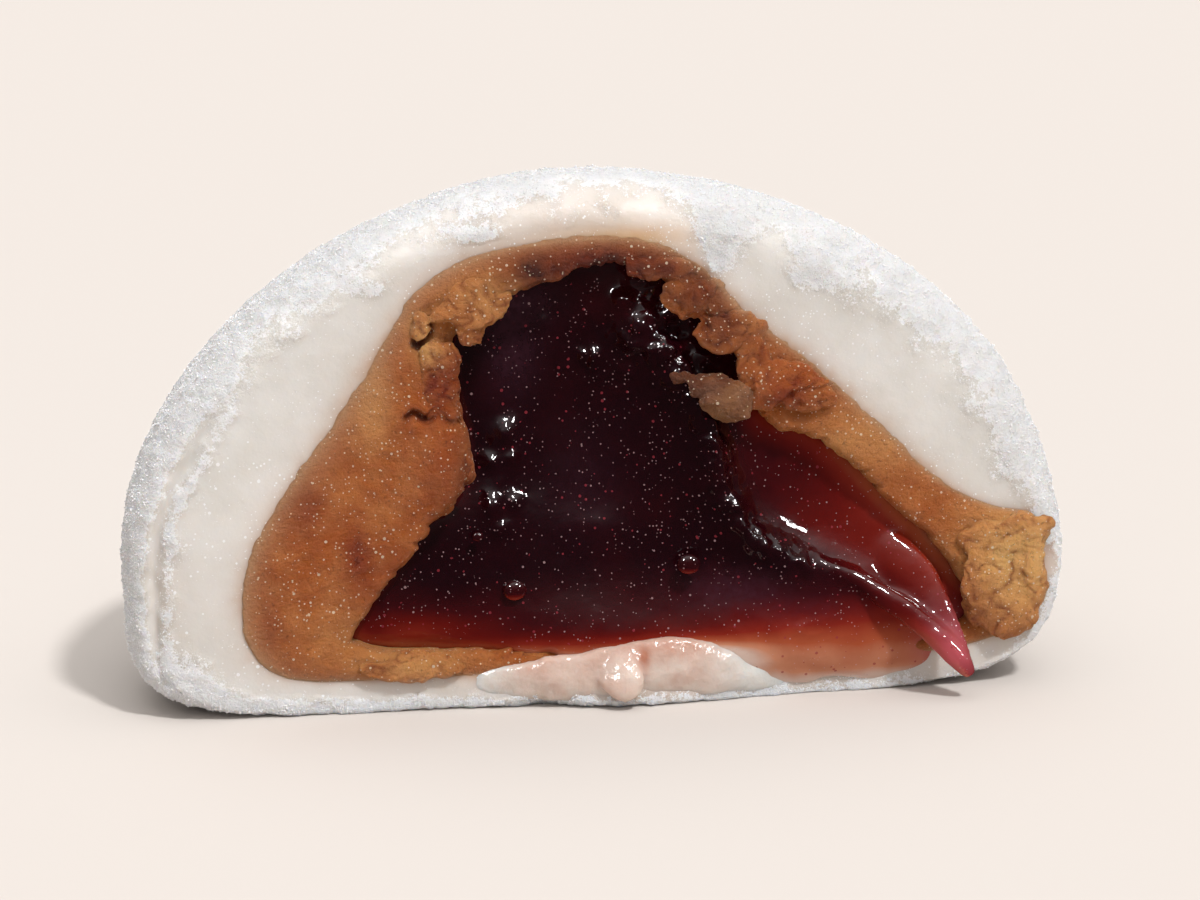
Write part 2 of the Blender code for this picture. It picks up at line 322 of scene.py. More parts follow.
@dataclass(frozen=True)
class Outline:
    """A closed outline in the plane of the cut, seen from the centre of the fillings."""

    knots: tuple[Pair, ...]
    centre: Pair = (3.0, 9.0)

    def reach(self, turn: Array) -> Array:
        """Distance from the centre to the smooth curve through the knots, at each turn."""
        knots = np.array(self.knots, float)
        looped = np.vstack([knots[-1:], knots, knots[:2]])
        curve = flow_through(looped, 16)[16:-16] - self.centre
        angles = np.degrees(np.arctan2(curve[:, 1], curve[:, 0]))
        order = np.argsort(angles)
        reaches = np.hypot(curve[:, 0], curve[:, 1])[order]
        return np.interp(np.degrees(turn), angles[order], reaches, period=360)


PASTE_OUTLINE = Outline((
    (-19.6, 4.0), (-20.3, 7.6), (-18.7, 12.2), (-14.7, 17.8), (-11.6, 22.8), (-9.5, 25.9),
    (-4.5, 28.0), (2.5, 28.4), (6.8, 26.8), (9.8, 23.6), (13.5, 20.7), (17.8, 16.7),
    (21.9, 12.9), (25.0, 11.3), (27.7, 10.5), (28.0, 7.2), (26.9, 4.2), (23.5, 2.7),
    (13.4, 1.8), (2.0, 2.3), (-8.0, 2.2), (-16.5, 2.3),
))
JELLY_OUTLINE = Outline((
    (-13.6, 4.4), (-11.2, 8.6), (-9.4, 11.2), (-7.5, 13.0), (-6.8, 16.0), (-7.5, 22.6),
    (-4.2, 25.0), (0.8, 27.0), (4.8, 25.6), (9.4, 21.8), (10.8, 17.4), (15.0, 15.2),
    (19.0, 11.8), (22.6, 7.8), (23.9, 4.6), (21.0, 3.3), (12.0, 3.0), (2.0, 3.6), (-5.5, 3.6),
))
FILLING_CENTRE = PASTE_OUTLINE.centre
THINNEST_PASTE = 1.2
SKIN_SWELLINGS = ((0.5, (-22.0, 9.0), (5.0, 9.0)), (1.5, (2.8, 0.5), (7.0, 2.2)))
RIDGE_LINE = np.array((
    (1.6, 25.2), (3.6, 22.8), (6.2, 19.6), (7.6, 16.5), (8.6, 13.4), (9.6, 11.2), (10.7, 9.9),
    (12.8, 8.6), (15.7, 7.4), (18.6, 6.0), (20.9, 4.5), (22.2, 2.9),
))


def jelly_reach(turn: Array) -> Array:
    """Reach of the jelly, never so far that the paste round it gets too thin."""
    return np.minimum(JELLY_OUTLINE.reach(turn), PASTE_OUTLINE.reach(turn) - THINNEST_PASTE)


def about_centre(across: Array, up: Array) -> tuple[Array, Array]:
    """The turn of each place on the cut about the centre of the fillings, and its distance from it."""
    sideways, above = across - FILLING_CENTRE[0], up - FILLING_CENTRE[1]
    return np.arctan2(above, sideways), np.hypot(sideways, above)


def filling_ring(turn: Array, reach: Array, depth: Array) -> Array:
    """One ring about the centre of the fillings, at a reach and a depth for each turn."""
    across = FILLING_CENTRE[0] + reach * np.cos(turn)
    up = FILLING_CENTRE[1] + reach * np.sin(turn)
    return np.stack(np.broadcast_arrays(across, depth, up), axis=-1)


def rounded_back(turn: Array, reach: Array, edge: Array, depth: float, rings: int) -> Array:
    """Rings that close a filling behind the cut: a quarter of an ellipse at every turn."""
    lean = np.linspace(0, math.pi / 2, rings + 1)[:-1, None]
    depths = edge[None] + (depth - edge[None]) * np.sin(lean)
    return filling_ring(turn[None], reach[None] * np.cos(lean), depths)


def to_object(name: str, data: bpy.types.ID) -> bpy.types.Object:
    """A new object in the scene that holds the data."""
    piece = bpy.data.objects.new(name, data)
    bpy.context.scene.collection.objects.link(piece)
    return piece


def mesh_rows(collection: bpy.types.bpy_prop_collection, key: str) -> Array:
    """Three numbers of every element of a mesh's collection, one row each."""
    flat = np.empty(len(collection) * 3, np.float32)
    collection.foreach_get(key, flat)
    return flat.reshape(-1, 3).astype(float)


def move_points(mesh: bpy.types.Mesh, places: Array) -> None:
    """Puts the mesh's points at new places."""
    mesh.vertices.foreach_set("co", np.ascontiguousarray(places, np.float32).ravel())
    mesh.update()


def paint(mesh: bpy.types.Mesh, name: str, values: Array) -> None:
    """Keeps one value from 0 to 1 for each point, for the finish to read."""
    layer = mesh.attributes.new(name, "FLOAT", "POINT")
    layer.data.foreach_set("value", np.clip(values, 0, 1).astype(np.float32))


def fuse(name: str, form: Form, where: CutFrame, voxel: float, smooth: int) -> bpy.types.Mesh:
    """One skin over overlapping closed forms, by a voxel remesh and some rounds of smoothing.

    Args:
        name: the mesh's name.
        form: the closed forms, joined.
        where: the frame of the cut.
        voxel: side of a voxel in millimetres.
        smooth: rounds of smoothing.

    Returns:
        The fused mesh, in metres in the model's frame.
    """
    mesh = form.to_mesh(name, where)
    shape = to_object(name, mesh)
    remesh = shape.modifiers.new("fuse", "REMESH")
    remesh.mode = "VOXEL"
    remesh.voxel_size = voxel * MM
    remesh.use_smooth_shade = True
    soften = shape.modifiers.new("soften", "SMOOTH")
    soften.factor = 0.5
    soften.iterations = smooth
    bpy.context.view_layer.update()
    graph = bpy.context.evaluated_depsgraph_get()
    fused = bpy.data.meshes.new_from_object(shape.evaluated_get(graph))
    bpy.data.objects.remove(shape)
    bpy.data.meshes.remove(mesh)
    fused.name = name
    fused.shade_smooth()
    return fused


# Finishes


class SharedGroup(Enum):
    """Node groups that several finishes share."""

    SPECKS = "scattered specks"
    GRAIN = "fine grain"


@dataclass
class Wiring:
    """Short ways to place and join the nodes of a material or a node group."""

    tree: bpy.types.NodeTree

    def node(self, kind: str, **settings: object) -> bpy.types.Node:
        """A new node, with its own settings."""
        made = self.tree.nodes.new(kind)
        for key, value in settings.items():
            setattr(made, key, value)
        return made

    def feed(self, socket: bpy.types.NodeSocket, value: object) -> None:
        """A socket's value: another socket, a number, or a colour of three numbers."""
        if isinstance(value, bpy.types.NodeSocket):
            self.tree.links.new(value, socket)
        elif isinstance(value, tuple):
            socket.default_value = (*value, 1.0)
        else:
            socket.default_value = value

    def math(self, operation: str, *values: object) -> bpy.types.NodeSocket:
        """Values put together by a Math operation; each may be a number."""
        made = self.node("ShaderNodeMath", operation=operation)
        for socket, value in zip(made.inputs, values):
            self.feed(socket, value)
        return made.outputs[0]

    def fade(self, value: object, start: object, end: object, low: float = 0.0,
             high: float = 1.0) -> bpy.types.NodeSocket:
        """The value carried smoothly from one range to another."""
        made = self.node("ShaderNodeMapRange", interpolation_type="SMOOTHSTEP")
        names = ("Value", "From Min", "From Max", "To Min", "To Max")
        for name, number in zip(names, (value, start, end, low, high)):
            self.feed(made.inputs[name], number)
        return made.outputs["Result"]

    def blend(self, amount: object, first: object, second: object) -> bpy.types.NodeSocket:
        """Two colours mixed by an amount."""
        made = self.node("ShaderNodeMix", data_type="RGBA")
        self.feed(made.inputs["Factor"], amount)
        self.feed(made.inputs[6], first)
        self.feed(made.inputs[7], second)
        return made.outputs[2]

    def ramp(self, amount: object, stops: list[tuple[float, Triple]]) -> bpy.types.NodeSocket:
        """The colour that a ramp of stops, each a place and a colour, holds at an amount."""
        made = self.node("ShaderNodeValToRGB")
        elements = made.color_ramp.elements
        while len(elements) < len(stops):
            elements.new(0.5)
        for element, (place, colour) in zip(elements, stops):
            element.position = place
            element.color = (*colour, 1.0)
        self.feed(made.inputs["Fac"], amount)
        return made.outputs["Color"]

    def painted(self, name: str) -> bpy.types.NodeSocket:
        """The value that a painted layer of the mesh holds."""
        return self.node("ShaderNodeAttribute", attribute_name=name).outputs["Fac"]

    def noise(self, width: float, detail: float = 3.0, rough: float = 0.5) -> bpy.types.NodeSocket:
        """Noise on Object coordinates, whose features are so many millimetres wide."""
        made = self.node("ShaderNodeTexNoise")
        made.inputs["Scale"].default_value = 1 / (width * MM)
        made.inputs["Detail"].default_value = detail
        made.inputs["Roughness"].default_value = rough
        self.feed(made.inputs["Vector"], self.node("ShaderNodeTexCoord").outputs["Object"])
        return made.outputs["Fac"]

    def relief(self, height: object, depth: float, under: object = None) -> bpy.types.NodeSocket:
        """A normal bent by a height, whose full range is so many millimetres deep."""
        made = self.node("ShaderNodeBump")
        made.inputs["Distance"].default_value = depth * MM
        self.feed(made.inputs["Height"], height)
        if under is not None:
            self.feed(made.inputs["Normal"], under)
        return made.outputs["Normal"]

    def specks(self, spacing: float, radius: float, share: object) -> bpy.types.NodeSocket:
        """A mask of round specks: their spacing and radius in millimetres and the share that shows."""
        made = self.node("ShaderNodeGroup", node_tree=shared_group(SharedGroup.SPECKS))
        self.feed(made.inputs["Spacing"], spacing * MM)
        self.feed(made.inputs["Radius"], radius / spacing)
        self.feed(made.inputs["Share"], share)
        return made.outputs["Mask"]

    def grain(self, width: float, contrast: float) -> bpy.types.NodeSocket:
        """Crumbly grain from 0 to 1, its lumps so many millimetres wide."""
        made = self.node("ShaderNodeGroup", node_tree=shared_group(SharedGroup.GRAIN))
        self.feed(made.inputs["Width"], width * MM)
        self.feed(made.inputs["Contrast"], contrast)
        return made.outputs["Grain"]


@dataclass
class MaterialWiring(Wiring):
    """The nodes of a material with its Principled shader."""

    material: bpy.types.Material

    @classmethod
    def start(cls, name: str) -> "MaterialWiring":
        """A new material with its Principled shader."""
        material = bpy.data.materials.new(name)
        material.use_nodes = True
        return cls(material.node_tree, material)

    def shade(self, **inputs: object) -> bpy.types.Material:
        """Feeds the Principled shader, spaces in its input names written as underscores."""
        shader = self.tree.nodes["Principled BSDF"]
        for name, value in inputs.items():
            self.feed(shader.inputs[name.replace("_", " ")], value)
        return self.material

    def glow_within(self, weight: float, scale: float, radius: Triple) -> None:
        """Light that wanders under the surface, so many millimetres far."""
        shader = self.tree.nodes["Principled BSDF"]
        shader.inputs["Subsurface Weight"].default_value = weight
        shader.inputs["Subsurface Scale"].default_value = scale * MM
        shader.inputs["Subsurface Radius"].default_value = radius


def shared_group(kind: SharedGroup) -> bpy.types.NodeTree:
    """The node group of that kind, made the first time it is asked for."""
    known = bpy.data.node_groups.get(kind.value)
    if known:
        return known
    return GROUP_MAKERS[kind](bpy.data.node_groups.new(kind.value, "ShaderNodeTree"))


def make_speck_group(tree: bpy.types.NodeTree) -> bpy.types.NodeTree:
    """Specks at scattered points: each has its own size, and only a share of them shows."""
    for name in ("Spacing", "Radius", "Share"):
        tree.interface.new_socket(name, in_out="INPUT", socket_type="NodeSocketFloat")
    tree.interface.new_socket("Mask", in_out="OUTPUT", socket_type="NodeSocketFloat")
    w = Wiring(tree)
    start = w.node("NodeGroupInput")
    end = w.node("NodeGroupOutput")
    scaled = w.node("ShaderNodeVectorMath", operation="SCALE")
    w.feed(scaled.inputs["Vector"], w.node("ShaderNodeTexCoord").outputs["Object"])
    w.feed(scaled.inputs["Scale"], w.math("DIVIDE", 1.0, start.outputs["Spacing"]))
    cells = w.node("ShaderNodeTexVoronoi")
    cells.inputs["Scale"].default_value = 1.0
    w.feed(cells.inputs["Vector"], scaled.outputs["Vector"])
    chance = w.node("ShaderNodeSeparateColor")
    w.feed(chance.inputs["Color"], cells.outputs["Color"])
    size = w.math("MULTIPLY", start.outputs["Radius"], w.math("ADD", 0.45, chance.outputs["Green"]))
    spot = w.math("GREATER_THAN", size, cells.outputs["Distance"])
    shown = w.math("LESS_THAN", chance.outputs["Red"], start.outputs["Share"])
    w.feed(end.inputs["Mask"], w.math("MULTIPLY", spot, shown))
    return tree


def make_grain_group(tree: bpy.types.NodeTree) -> bpy.types.NodeTree:
    """Crumbly grain: noise with strong fine layers, drawn apart about its middle by the contrast."""
    for name in ("Width", "Contrast"):
        tree.interface.new_socket(name, in_out="INPUT", socket_type="NodeSocketFloat")
    tree.interface.new_socket("Grain", in_out="OUTPUT", socket_type="NodeSocketFloat")
    w = Wiring(tree)
    start = w.node("NodeGroupInput")
    end = w.node("NodeGroupOutput")
    noise = w.node("ShaderNodeTexNoise")
    noise.inputs["Detail"].default_value = 5.0
    noise.inputs["Roughness"].default_value = 0.72
    w.feed(noise.inputs["Vector"], w.node("ShaderNodeTexCoord").outputs["Object"])
    w.feed(noise.inputs["Scale"], w.math("DIVIDE", 1.0, start.outputs["Width"]))
    centred = w.math("SUBTRACT", noise.outputs["Fac"], 0.5)
    drawn = w.math("MULTIPLY_ADD", centred, start.outputs["Contrast"], 0.5)
    clamp = w.node("ShaderNodeClamp")
    w.feed(clamp.inputs["Value"], drawn)
    w.feed(end.inputs["Grain"], clamp.outputs["Result"])
    return tree


GROUP_MAKERS = {SharedGroup.SPECKS: make_speck_group, SharedGroup.GRAIN: make_grain_group}


@dataclass(frozen=True)
class RiceDoughFinish:
    """Soft pale dough where the cut passes, and white starch flour over the outside."""

    dough: Triple = (0.725, 0.700, 0.668)
    dough_shade: Triple = (0.660, 0.632, 0.590)
    # colour of the stain layer; on the top of the rim and in the left crease it serves as painted shade
    damp: Triple = (0.50, 0.27, 0.15)
    honey: Triple = (0.66, 0.38, 0.16)
    flour: Triple = (0.87, 0.865, 0.87)
    # grey of the painted shade in the flour's pits
    pit_shade: Triple = (0.42, 0.41, 0.42)

    def make(self) -> bpy.types.Material:
        """The finished material."""
        w = MaterialWiring.start("rice skin")
        cover = w.painted("flour")
        clots = w.math("MULTIPLY", w.math("SUBTRACT", w.grain(0.60, 1.7), 0.5), 1.2)
        dust = w.math("MULTIPLY_ADD", w.math("SUBTRACT", w.grain(0.13, 1.9), 0.5), 0.9, clots)
        floury = w.fade(w.math("ADD", cover, dust), 0.44, 0.56)
        cloudy = w.fade(w.noise(3.5, 2), 0.35, 0.7)
        dough = w.blend(cloudy, self.dough, self.dough_shade)
        # the stain layer is partly painted shade, on the top of the rim and in the crease down the left side
        dough = w.blend(w.painted("stain"), dough, self.damp)
        dough = w.blend(w.painted("honey"), dough, self.honey)
        patches = w.fade(w.noise(1.9, 3), 0.40, 0.66, 0.10, 0.80)
        near = w.math("MULTIPLY_ADD", cover, 0.6, patches)
        dusted = w.math("MAXIMUM", w.specks(0.30, 0.052, near), w.specks(0.70, 0.085, patches))
        dough = w.blend(w.math("MULTIPLY", dusted, 0.8), dough, self.flour)
        # painted shade: the flour turns grey in the pits of its grain, more so out on the dome and in patches
        hollows = w.fade(w.grain(0.26, 1.9), 0.16, 0.42, 1.0, 0.0)
        pit_shade_patches = w.fade(w.noise(3.0, 3), 0.35, 0.65, 0.45, 1.0)
        hollows = w.math("MULTIPLY", hollows, w.math("MULTIPLY", pit_shade_patches, w.painted("far")))
        flour = w.blend(hollows, self.flour, self.pit_shade)
        w.glow_within(0.45, 1.5, (1.0, 0.75, 0.55))
        silk = w.relief(w.noise(0.7, 4, 0.6), 0.04)
        return w.shade(
            Base_Color=w.blend(floury, dough, flour),
            Roughness=w.fade(floury, 0.0, 1.0, 0.42, 0.95),
            Normal=w.relief(w.math("MULTIPLY", w.grain(0.24, 1.5), cover), 0.24, silk),
        )


@dataclass(frozen=True)
class WetDoughFinish:
    """Dough drawn out under the jelly: damp, glassy and tinted."""

    pale: Triple = (0.68, 0.56, 0.49)
    tinted: Triple = (0.46, 0.20, 0.13)
    plain: Triple = (0.700, 0.670, 0.635)

    def make(self) -> bpy.types.Material:
        """The finished material."""
        w = MaterialWiring.start("wet dough")
        colour = w.blend(w.painted("stain"), self.pale, self.tinted)
        colour = w.blend(w.fade(w.noise(1.4, 3), 0.42, 0.7, 0.0, 0.25), colour, self.tinted)
        colour = w.blend(w.painted("plain"), colour, self.plain)
        w.glow_within(0.5, 1.5, (1.0, 0.6, 0.45))
        return w.shade(
            Base_Color=colour,
            Roughness=0.16,
            Normal=w.relief(w.noise(0.5, 3), 0.08),
        )


@dataclass(frozen=True)
class BeanPasteFinish:
    """Moist caramel-brown paste, finely granular, redder in patches and golden where it is thin."""

    base: Triple = (0.445, 0.108, 0.018)
    light: Triple = (0.56, 0.180, 0.045)
    red: Triple = (0.25, 0.024, 0.003)
    gold: Triple = (0.86, 0.46, 0.160)
    dark: Triple = (0.075, 0.011, 0.005)
    faded: Triple = (0.56, 0.31, 0.165)
    glint: Triple = (0.92, 0.76, 0.58)

    def make(self) -> bpy.types.Material:
        """The finished material."""
        w = MaterialWiring.start("bean paste")
        colour = w.blend(w.fade(w.noise(1.9, 4, 0.6), 0.36, 0.70), self.base, self.light)
        colour = w.blend(w.painted("red"), colour, self.red)
        colour = w.blend(w.painted("gold"), colour, self.gold)
        colour = w.blend(w.painted("dark"), colour, self.dark)
        colour = w.blend(w.fade(w.grain(0.30, 1.8), 0.14, 0.40, 0.50, 0.0), colour, self.dark)
        colour = w.blend(w.painted("fade"), colour, self.faded)
        # painted glints: tiny pale highlights laid into the paste's colour
        sparkle = w.math("MAXIMUM", w.specks(0.22, 0.042, 0.50), w.specks(0.50, 0.066, 0.45))
        colour = w.blend(w.math("MULTIPLY", sparkle, 0.75), colour, self.glint)
        w.glow_within(0.25, 1.0, (1.0, 0.45, 0.2))
        return w.shade(
            Base_Color=colour,
            Roughness=w.fade(w.noise(0.5, 3), 0.3, 0.7, 0.28, 0.55),
            Specular_IOR_Level=0.32,
            Normal=w.relief(w.grain(0.26, 1.7), 0.30),
        )


@dataclass(frozen=True)
class DarkJellyFinish:
    """Wet jelly: nearly black where it is thick, then red, brown and pale where it is thin."""

    stops: tuple[tuple[float, Triple], ...] = (
        (0.00, (0.0105, 0.0010, 0.0024)),
        (0.22, (0.036, 0.0022, 0.0034)),
        (0.42, (0.105, 0.0050, 0.0036)),
        (0.60, (0.20, 0.016, 0.008)),
        (0.78, (0.34, 0.072, 0.030)),
        (0.90, (0.50, 0.215, 0.125)),
        (1.00, (0.62, 0.46, 0.39)),
    )
    drip: Triple = (0.46, 0.088, 0.108)
    # colour of a painted reflection: a soft mauve-grey haze
    reflection_haze: Triple = (0.052, 0.016, 0.027)
    # pale flecks: partly specks in the jelly, partly painted glints
    fleck_and_glint: Triple = (0.46, 0.30, 0.31)
    crimson: Triple = (0.24, 0.028, 0.040)

    def make(self) -> bpy.types.Material:
        """The finished material."""
        w = MaterialWiring.start("dark jelly")
        wander = w.math("MULTIPLY", w.math("SUBTRACT", w.noise(2.2, 3), 0.5), 0.10)
        depth = w.ramp(w.math("ADD", w.painted("thin"), wander), list(self.stops))
        colour = w.blend(w.painted("drip"), depth, self.drip)
        # painted reflection: a soft mauve-grey haze laid over the jelly in patches, broken up by grain
        reflection_mask = w.math("MULTIPLY", w.painted("reflection_haze"), w.fade(w.grain(0.5, 1.6), 0.2, 0.8, 0.45, 1.0))
        colour = w.blend(reflection_mask, colour, self.reflection_haze)
        clouds = w.fade(w.noise(1.6, 3), 0.38, 0.62, 0.20, 0.75)
        colour = w.blend(w.math("MULTIPLY", w.specks(0.50, 0.068, clouds), 0.65), colour, self.crimson)
        # pale flecks, partly specks in the jelly and partly painted glints
        flecks_and_glints = w.math("MAXIMUM", w.specks(0.23, 0.036, clouds), w.specks(0.72, 0.060, 0.40))
        colour = w.blend(w.math("MULTIPLY", flecks_and_glints, 0.50), colour, self.fleck_and_glint)
        w.glow_within(0.10, 1.2, (1.0, 0.25, 0.15))
        crumpled = w.math("MULTIPLY", w.noise(1.0, 1.0, 0.4), w.painted("rough"))
        return w.shade(
            Base_Color=colour,
            Roughness=0.07,
            Specular_IOR_Level=0.42,
            Coat_Weight=0.25,
            Coat_Roughness=0.03,
            Coat_IOR=1.38,
            Normal=w.relief(crumpled, 0.55, w.relief(w.noise(0.8, 3, 0.5), 0.035)),
        )


@dataclass(frozen=True)
class FlourGrainFinish:
    """Loose grains and clots of white starch."""

    bright: Triple = (0.90, 0.895, 0.90)
    dull: Triple = (0.76, 0.75, 0.76)

    def make(self) -> bpy.types.Material:
        """The finished material."""
        w = MaterialWiring.start("flour grains")
        return w.shade(Base_Color=w.blend(w.noise(0.5, 2), self.dull, self.bright), Roughness=0.95)


# The pieces of the cake


def finish_piece(name: str, mesh: bpy.types.Mesh, material: bpy.types.Material,
                 node: Node | None = None) -> bpy.types.Object:
    """A dressed piece that rides on the cake, in place of a solid where one is named."""
    mesh.materials.append(material)
    piece = to_object(name, mesh)
    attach(piece, "root")
    if node:
        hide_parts(node.value)
    return piece


@dataclass
class RiceSkin:
    """The rice skin: a floury dome, its cut face, and the lining of its cavity."""

    where: CutFrame
    left_reach: float = 27.2
    right_reach: float = 29.2
    widest_level: float = 10.0
    dome_rise: float = 21.8
    base_drop: float = 10.35
    rim_depth: float = 3.0
    back_reach: float = 25.6
    upper_powers: Pair = (1.8, 2.0)
    lower_powers: Pair = (6.0, 5.0)
    lip_swell: float = 0.7
    lip_turn: float = -3.0
    lip_spread: float = 9.0
    lining_gap: float = 0.15
    lining_start: float = 0.9
    lining_depth: float = 21.8
    segments: int = 700
    lining_rings: int = 6
    face_rings: int = 32
    rim_rings: int = 22
    dome_rings: int = 78
    rim_widths: tuple[Pair, ...] = (
        (-170, 2.0), (-150, 1.0), (-120, 0.9), (-104, 1.7), (-98, 1.6), (-88, 0.8), (-50, 0.8),
        (-24, 0.7), (-5, 0.5), (6, 2.4), (25, 3.9), (60, 3.0), (90, 2.4), (135, 2.4), (170, 2.6),
    )
    flour_starts: tuple[Pair, ...] = (
        (-170, 0.4), (-150, 0.1), (-120, -0.2), (-95, 0.0), (-60, -0.1), (-20, 0.1), (0, 0.4),
        (8, -0.2), (17, 0.3), (26, 1.0), (39, 1.1), (50, 0.7), (65, 1.7), (90, 2.3), (120, 2.0),
        (134, 1.2), (145, 0.6), (156, -0.1), (165, -0.1), (175, 0.3),
    )
    drifts: Mounds = (
        (4.4, (8.2, 28.4), (1.4, 2.6)),
        (1.9, (7.6, 25.6), (0.8, 1.0)),
        (2.5, (-15.5, 0.9), (8.5, 1.5)),
        (2.5, (-23.0, 2.2), (3.6, 2.8)),
        (1.2, (13.5, 26.2), (4.0, 1.6)),
        (1.9, (-12.2, 26.0), (2.6, 0.7)),
        (1.8, (-18.8, 16.2), (1.2, 1.8)),
        (2.4, (-6.2, 28.9), (1.8, 0.5)),
        (1.2, (-16.2, 15.5), (1.4, 1.0)),
    )
    stains_and_shade: Mounds = (
        (0.40, (6.0, 1.6), (12.0, 1.7)),
        (0.25, (29.5, 9.0), (1.6, 2.6)),
        # painted shade: darkens the upward-facing top of the rim
        (0.16, (0.0, 30.4), (9.0, 1.5)),
        # painted shade in the crease down the left side
        (0.10, (-25.0, 9.0), (1.6, 7.0)),
    )
    surface: dict[str, Array] = field(default_factory=dict)

    def outer_reach(self, direction: Array, turn: Array) -> Array:
        """Distance from the heart of the cake to its outside: a superellipsoid, fuller below than above."""
        across, back, up = np.moveaxis(direction, -1, 0)
        right = smooth_step(across, -0.4, 0.4)
        side = self.left_reach + (self.right_reach - self.left_reach) * right
        rise = np.where(up > 0, self.dome_rise, self.base_drop)
        left_power = np.where(up > 0, self.upper_powers[0], self.lower_powers[0])
        right_power = np.where(up > 0, self.upper_powers[1], self.lower_powers[1])
        power = left_power + (right_power - left_power) * right
        level = np.hypot(across / side, back / self.back_reach)
        reach = (level**power + (np.abs(up) / rise) ** power) ** (-1 / power)
        lip = np.exp(-(((np.degrees(turn) - self.lip_turn) / self.lip_spread) ** 2)) * (1 - np.abs(back)) ** 6
        return reach + self.lip_swell * lip

    def rings(self) -> tuple[Array, Array]:
        """The smooth form, and how far each place lies outward of the rim's start in millimetres."""
        turn = np.linspace(-math.pi, math.pi, self.segments, endpoint=False)
        straight = np.stack([np.cos(turn), np.zeros_like(turn), np.sin(turn)], axis=-1)
        width = np.interp(np.degrees(turn), *np.array(self.rim_widths).T, period=360)
        heart = np.array([0, self.rim_depth, self.widest_level])
        full = self.outer_reach(straight, turn)
        face_edge = heart + straight * (full - width)[:, None]
        face_edge[:, 1] = 0
        inner = PASTE_OUTLINE.reach(turn) - self.lining_gap
        hole = filling_ring(turn, inner, np.zeros_like(turn))
        start = np.full_like(turn, self.lining_start)
        lining = rounded_back(turn, inner, start, self.lining_depth, self.lining_rings)[::-1]
        part = np.linspace(0, 1, self.face_rings)[:, None, None]
        face = hole * (1 - part) + face_edge * part
        span = np.linalg.norm(face_edge - hole, axis=1)
        quarter = (np.arange(1, self.rim_rings + 1) / self.rim_rings * math.pi / 2)[:, None]
        reach = full - width * (1 - np.sin(quarter))
        rim = heart + straight * reach[..., None]
        rim[..., 1] = self.rim_depth * (1 - np.cos(quarter))
        lean = ((np.arange(1, self.dome_rings) / self.dome_rings) ** 1.25 * math.pi / 2)[:, None]
        sides = (np.cos(lean) * np.cos(turn), np.sin(lean), np.cos(lean) * np.sin(turn))
        direction = np.stack(np.broadcast_arrays(*sides), axis=-1)
        far = self.outer_reach(direction, np.broadcast_to(turn, direction.shape[:2]))
        dome = heart + direction * far[..., None]
        outward = np.concatenate([
            np.full((self.lining_rings, self.segments), -9.0),
            (part[..., 0] - 1) * span,
            np.broadcast_to(quarter * 2.2, rim.shape[:2]),
            3.5 + np.broadcast_to(lean * 20, dome.shape[:2]),
        ])
        rings = np.concatenate([lining, face, rim, dome])
        forward = np.concatenate([
            np.zeros(self.lining_rings),
            np.ones(self.face_rings),
            np.cos(quarter[:, 0]),
            np.zeros(self.dome_rings - 1),
        ])[:, None]
        rings[..., 1] -= mounds(rings[..., 0], rings[..., 2], SKIN_SWELLINGS) * forward
        rings[..., 1] += self.crease(turn, outward)
        return rings, outward

    @staticmethod
    def left_side(turn: Array) -> tuple[Array, Array]:
        """How far each turn belongs to the crease down the left side, and how far it wanders there."""
        side = np.degrees(turn) % 360
        there = smooth_step(side, 152, 168) * (1 - smooth_step(side, 190, 204))
        circle = np.stack([25 * np.cos(turn), np.zeros_like(turn), 25 * np.sin(turn)], axis=-1)
        return there, 0.45 * layered_noise(circle, 5.0, 13) + 0.22 * layered_noise(circle, 1.1, 14)

    def crease(self, turn: Array, outward: Array) -> Array:
        """Depth of the crease down the left side, between the cut face and the floury flank."""
        there, wander = self.left_side(turn)
        return 0.5 * there * np.exp(-(((outward - 0.5 - wander) / 0.36) ** 2))

    def flour_cover(self, turn: Array, places: Array, outward: Array) -> Array:
        """How thick the flour lies, from 0 to 1: over the outside, with a ragged edge and a few drifts."""
        start = np.interp(np.degrees(turn), *np.array(self.flour_starts).T, period=360)
        start = np.broadcast_to(start, outward.shape).ravel()
        there, wander = (np.broadcast_to(part, outward.shape).ravel() for part in self.left_side(turn))
        flat = outward.ravel()
        front = smooth_step(-places[:, 1], -3.5, -1.0)
        drift = mounds(places[:, 0], places[:, 2], self.drifts) * front
        broken = 0.4 + lattice_noise(places, 1.5, 15)
        drift += 1.5 * there * broken * np.exp(-(((flat + 0.15 - wander) / 0.3) ** 2))
        drift -= 2.2 * there * np.exp(-(((flat - 0.75 - wander) / 0.5) ** 2))
        ragged = 1.5 * layered_noise(places, 2.8, 11) + 1.3 * layered_noise(places, 0.9, 12)
        return smooth_step(flat - start + drift + ragged, -1.7, 1.5)

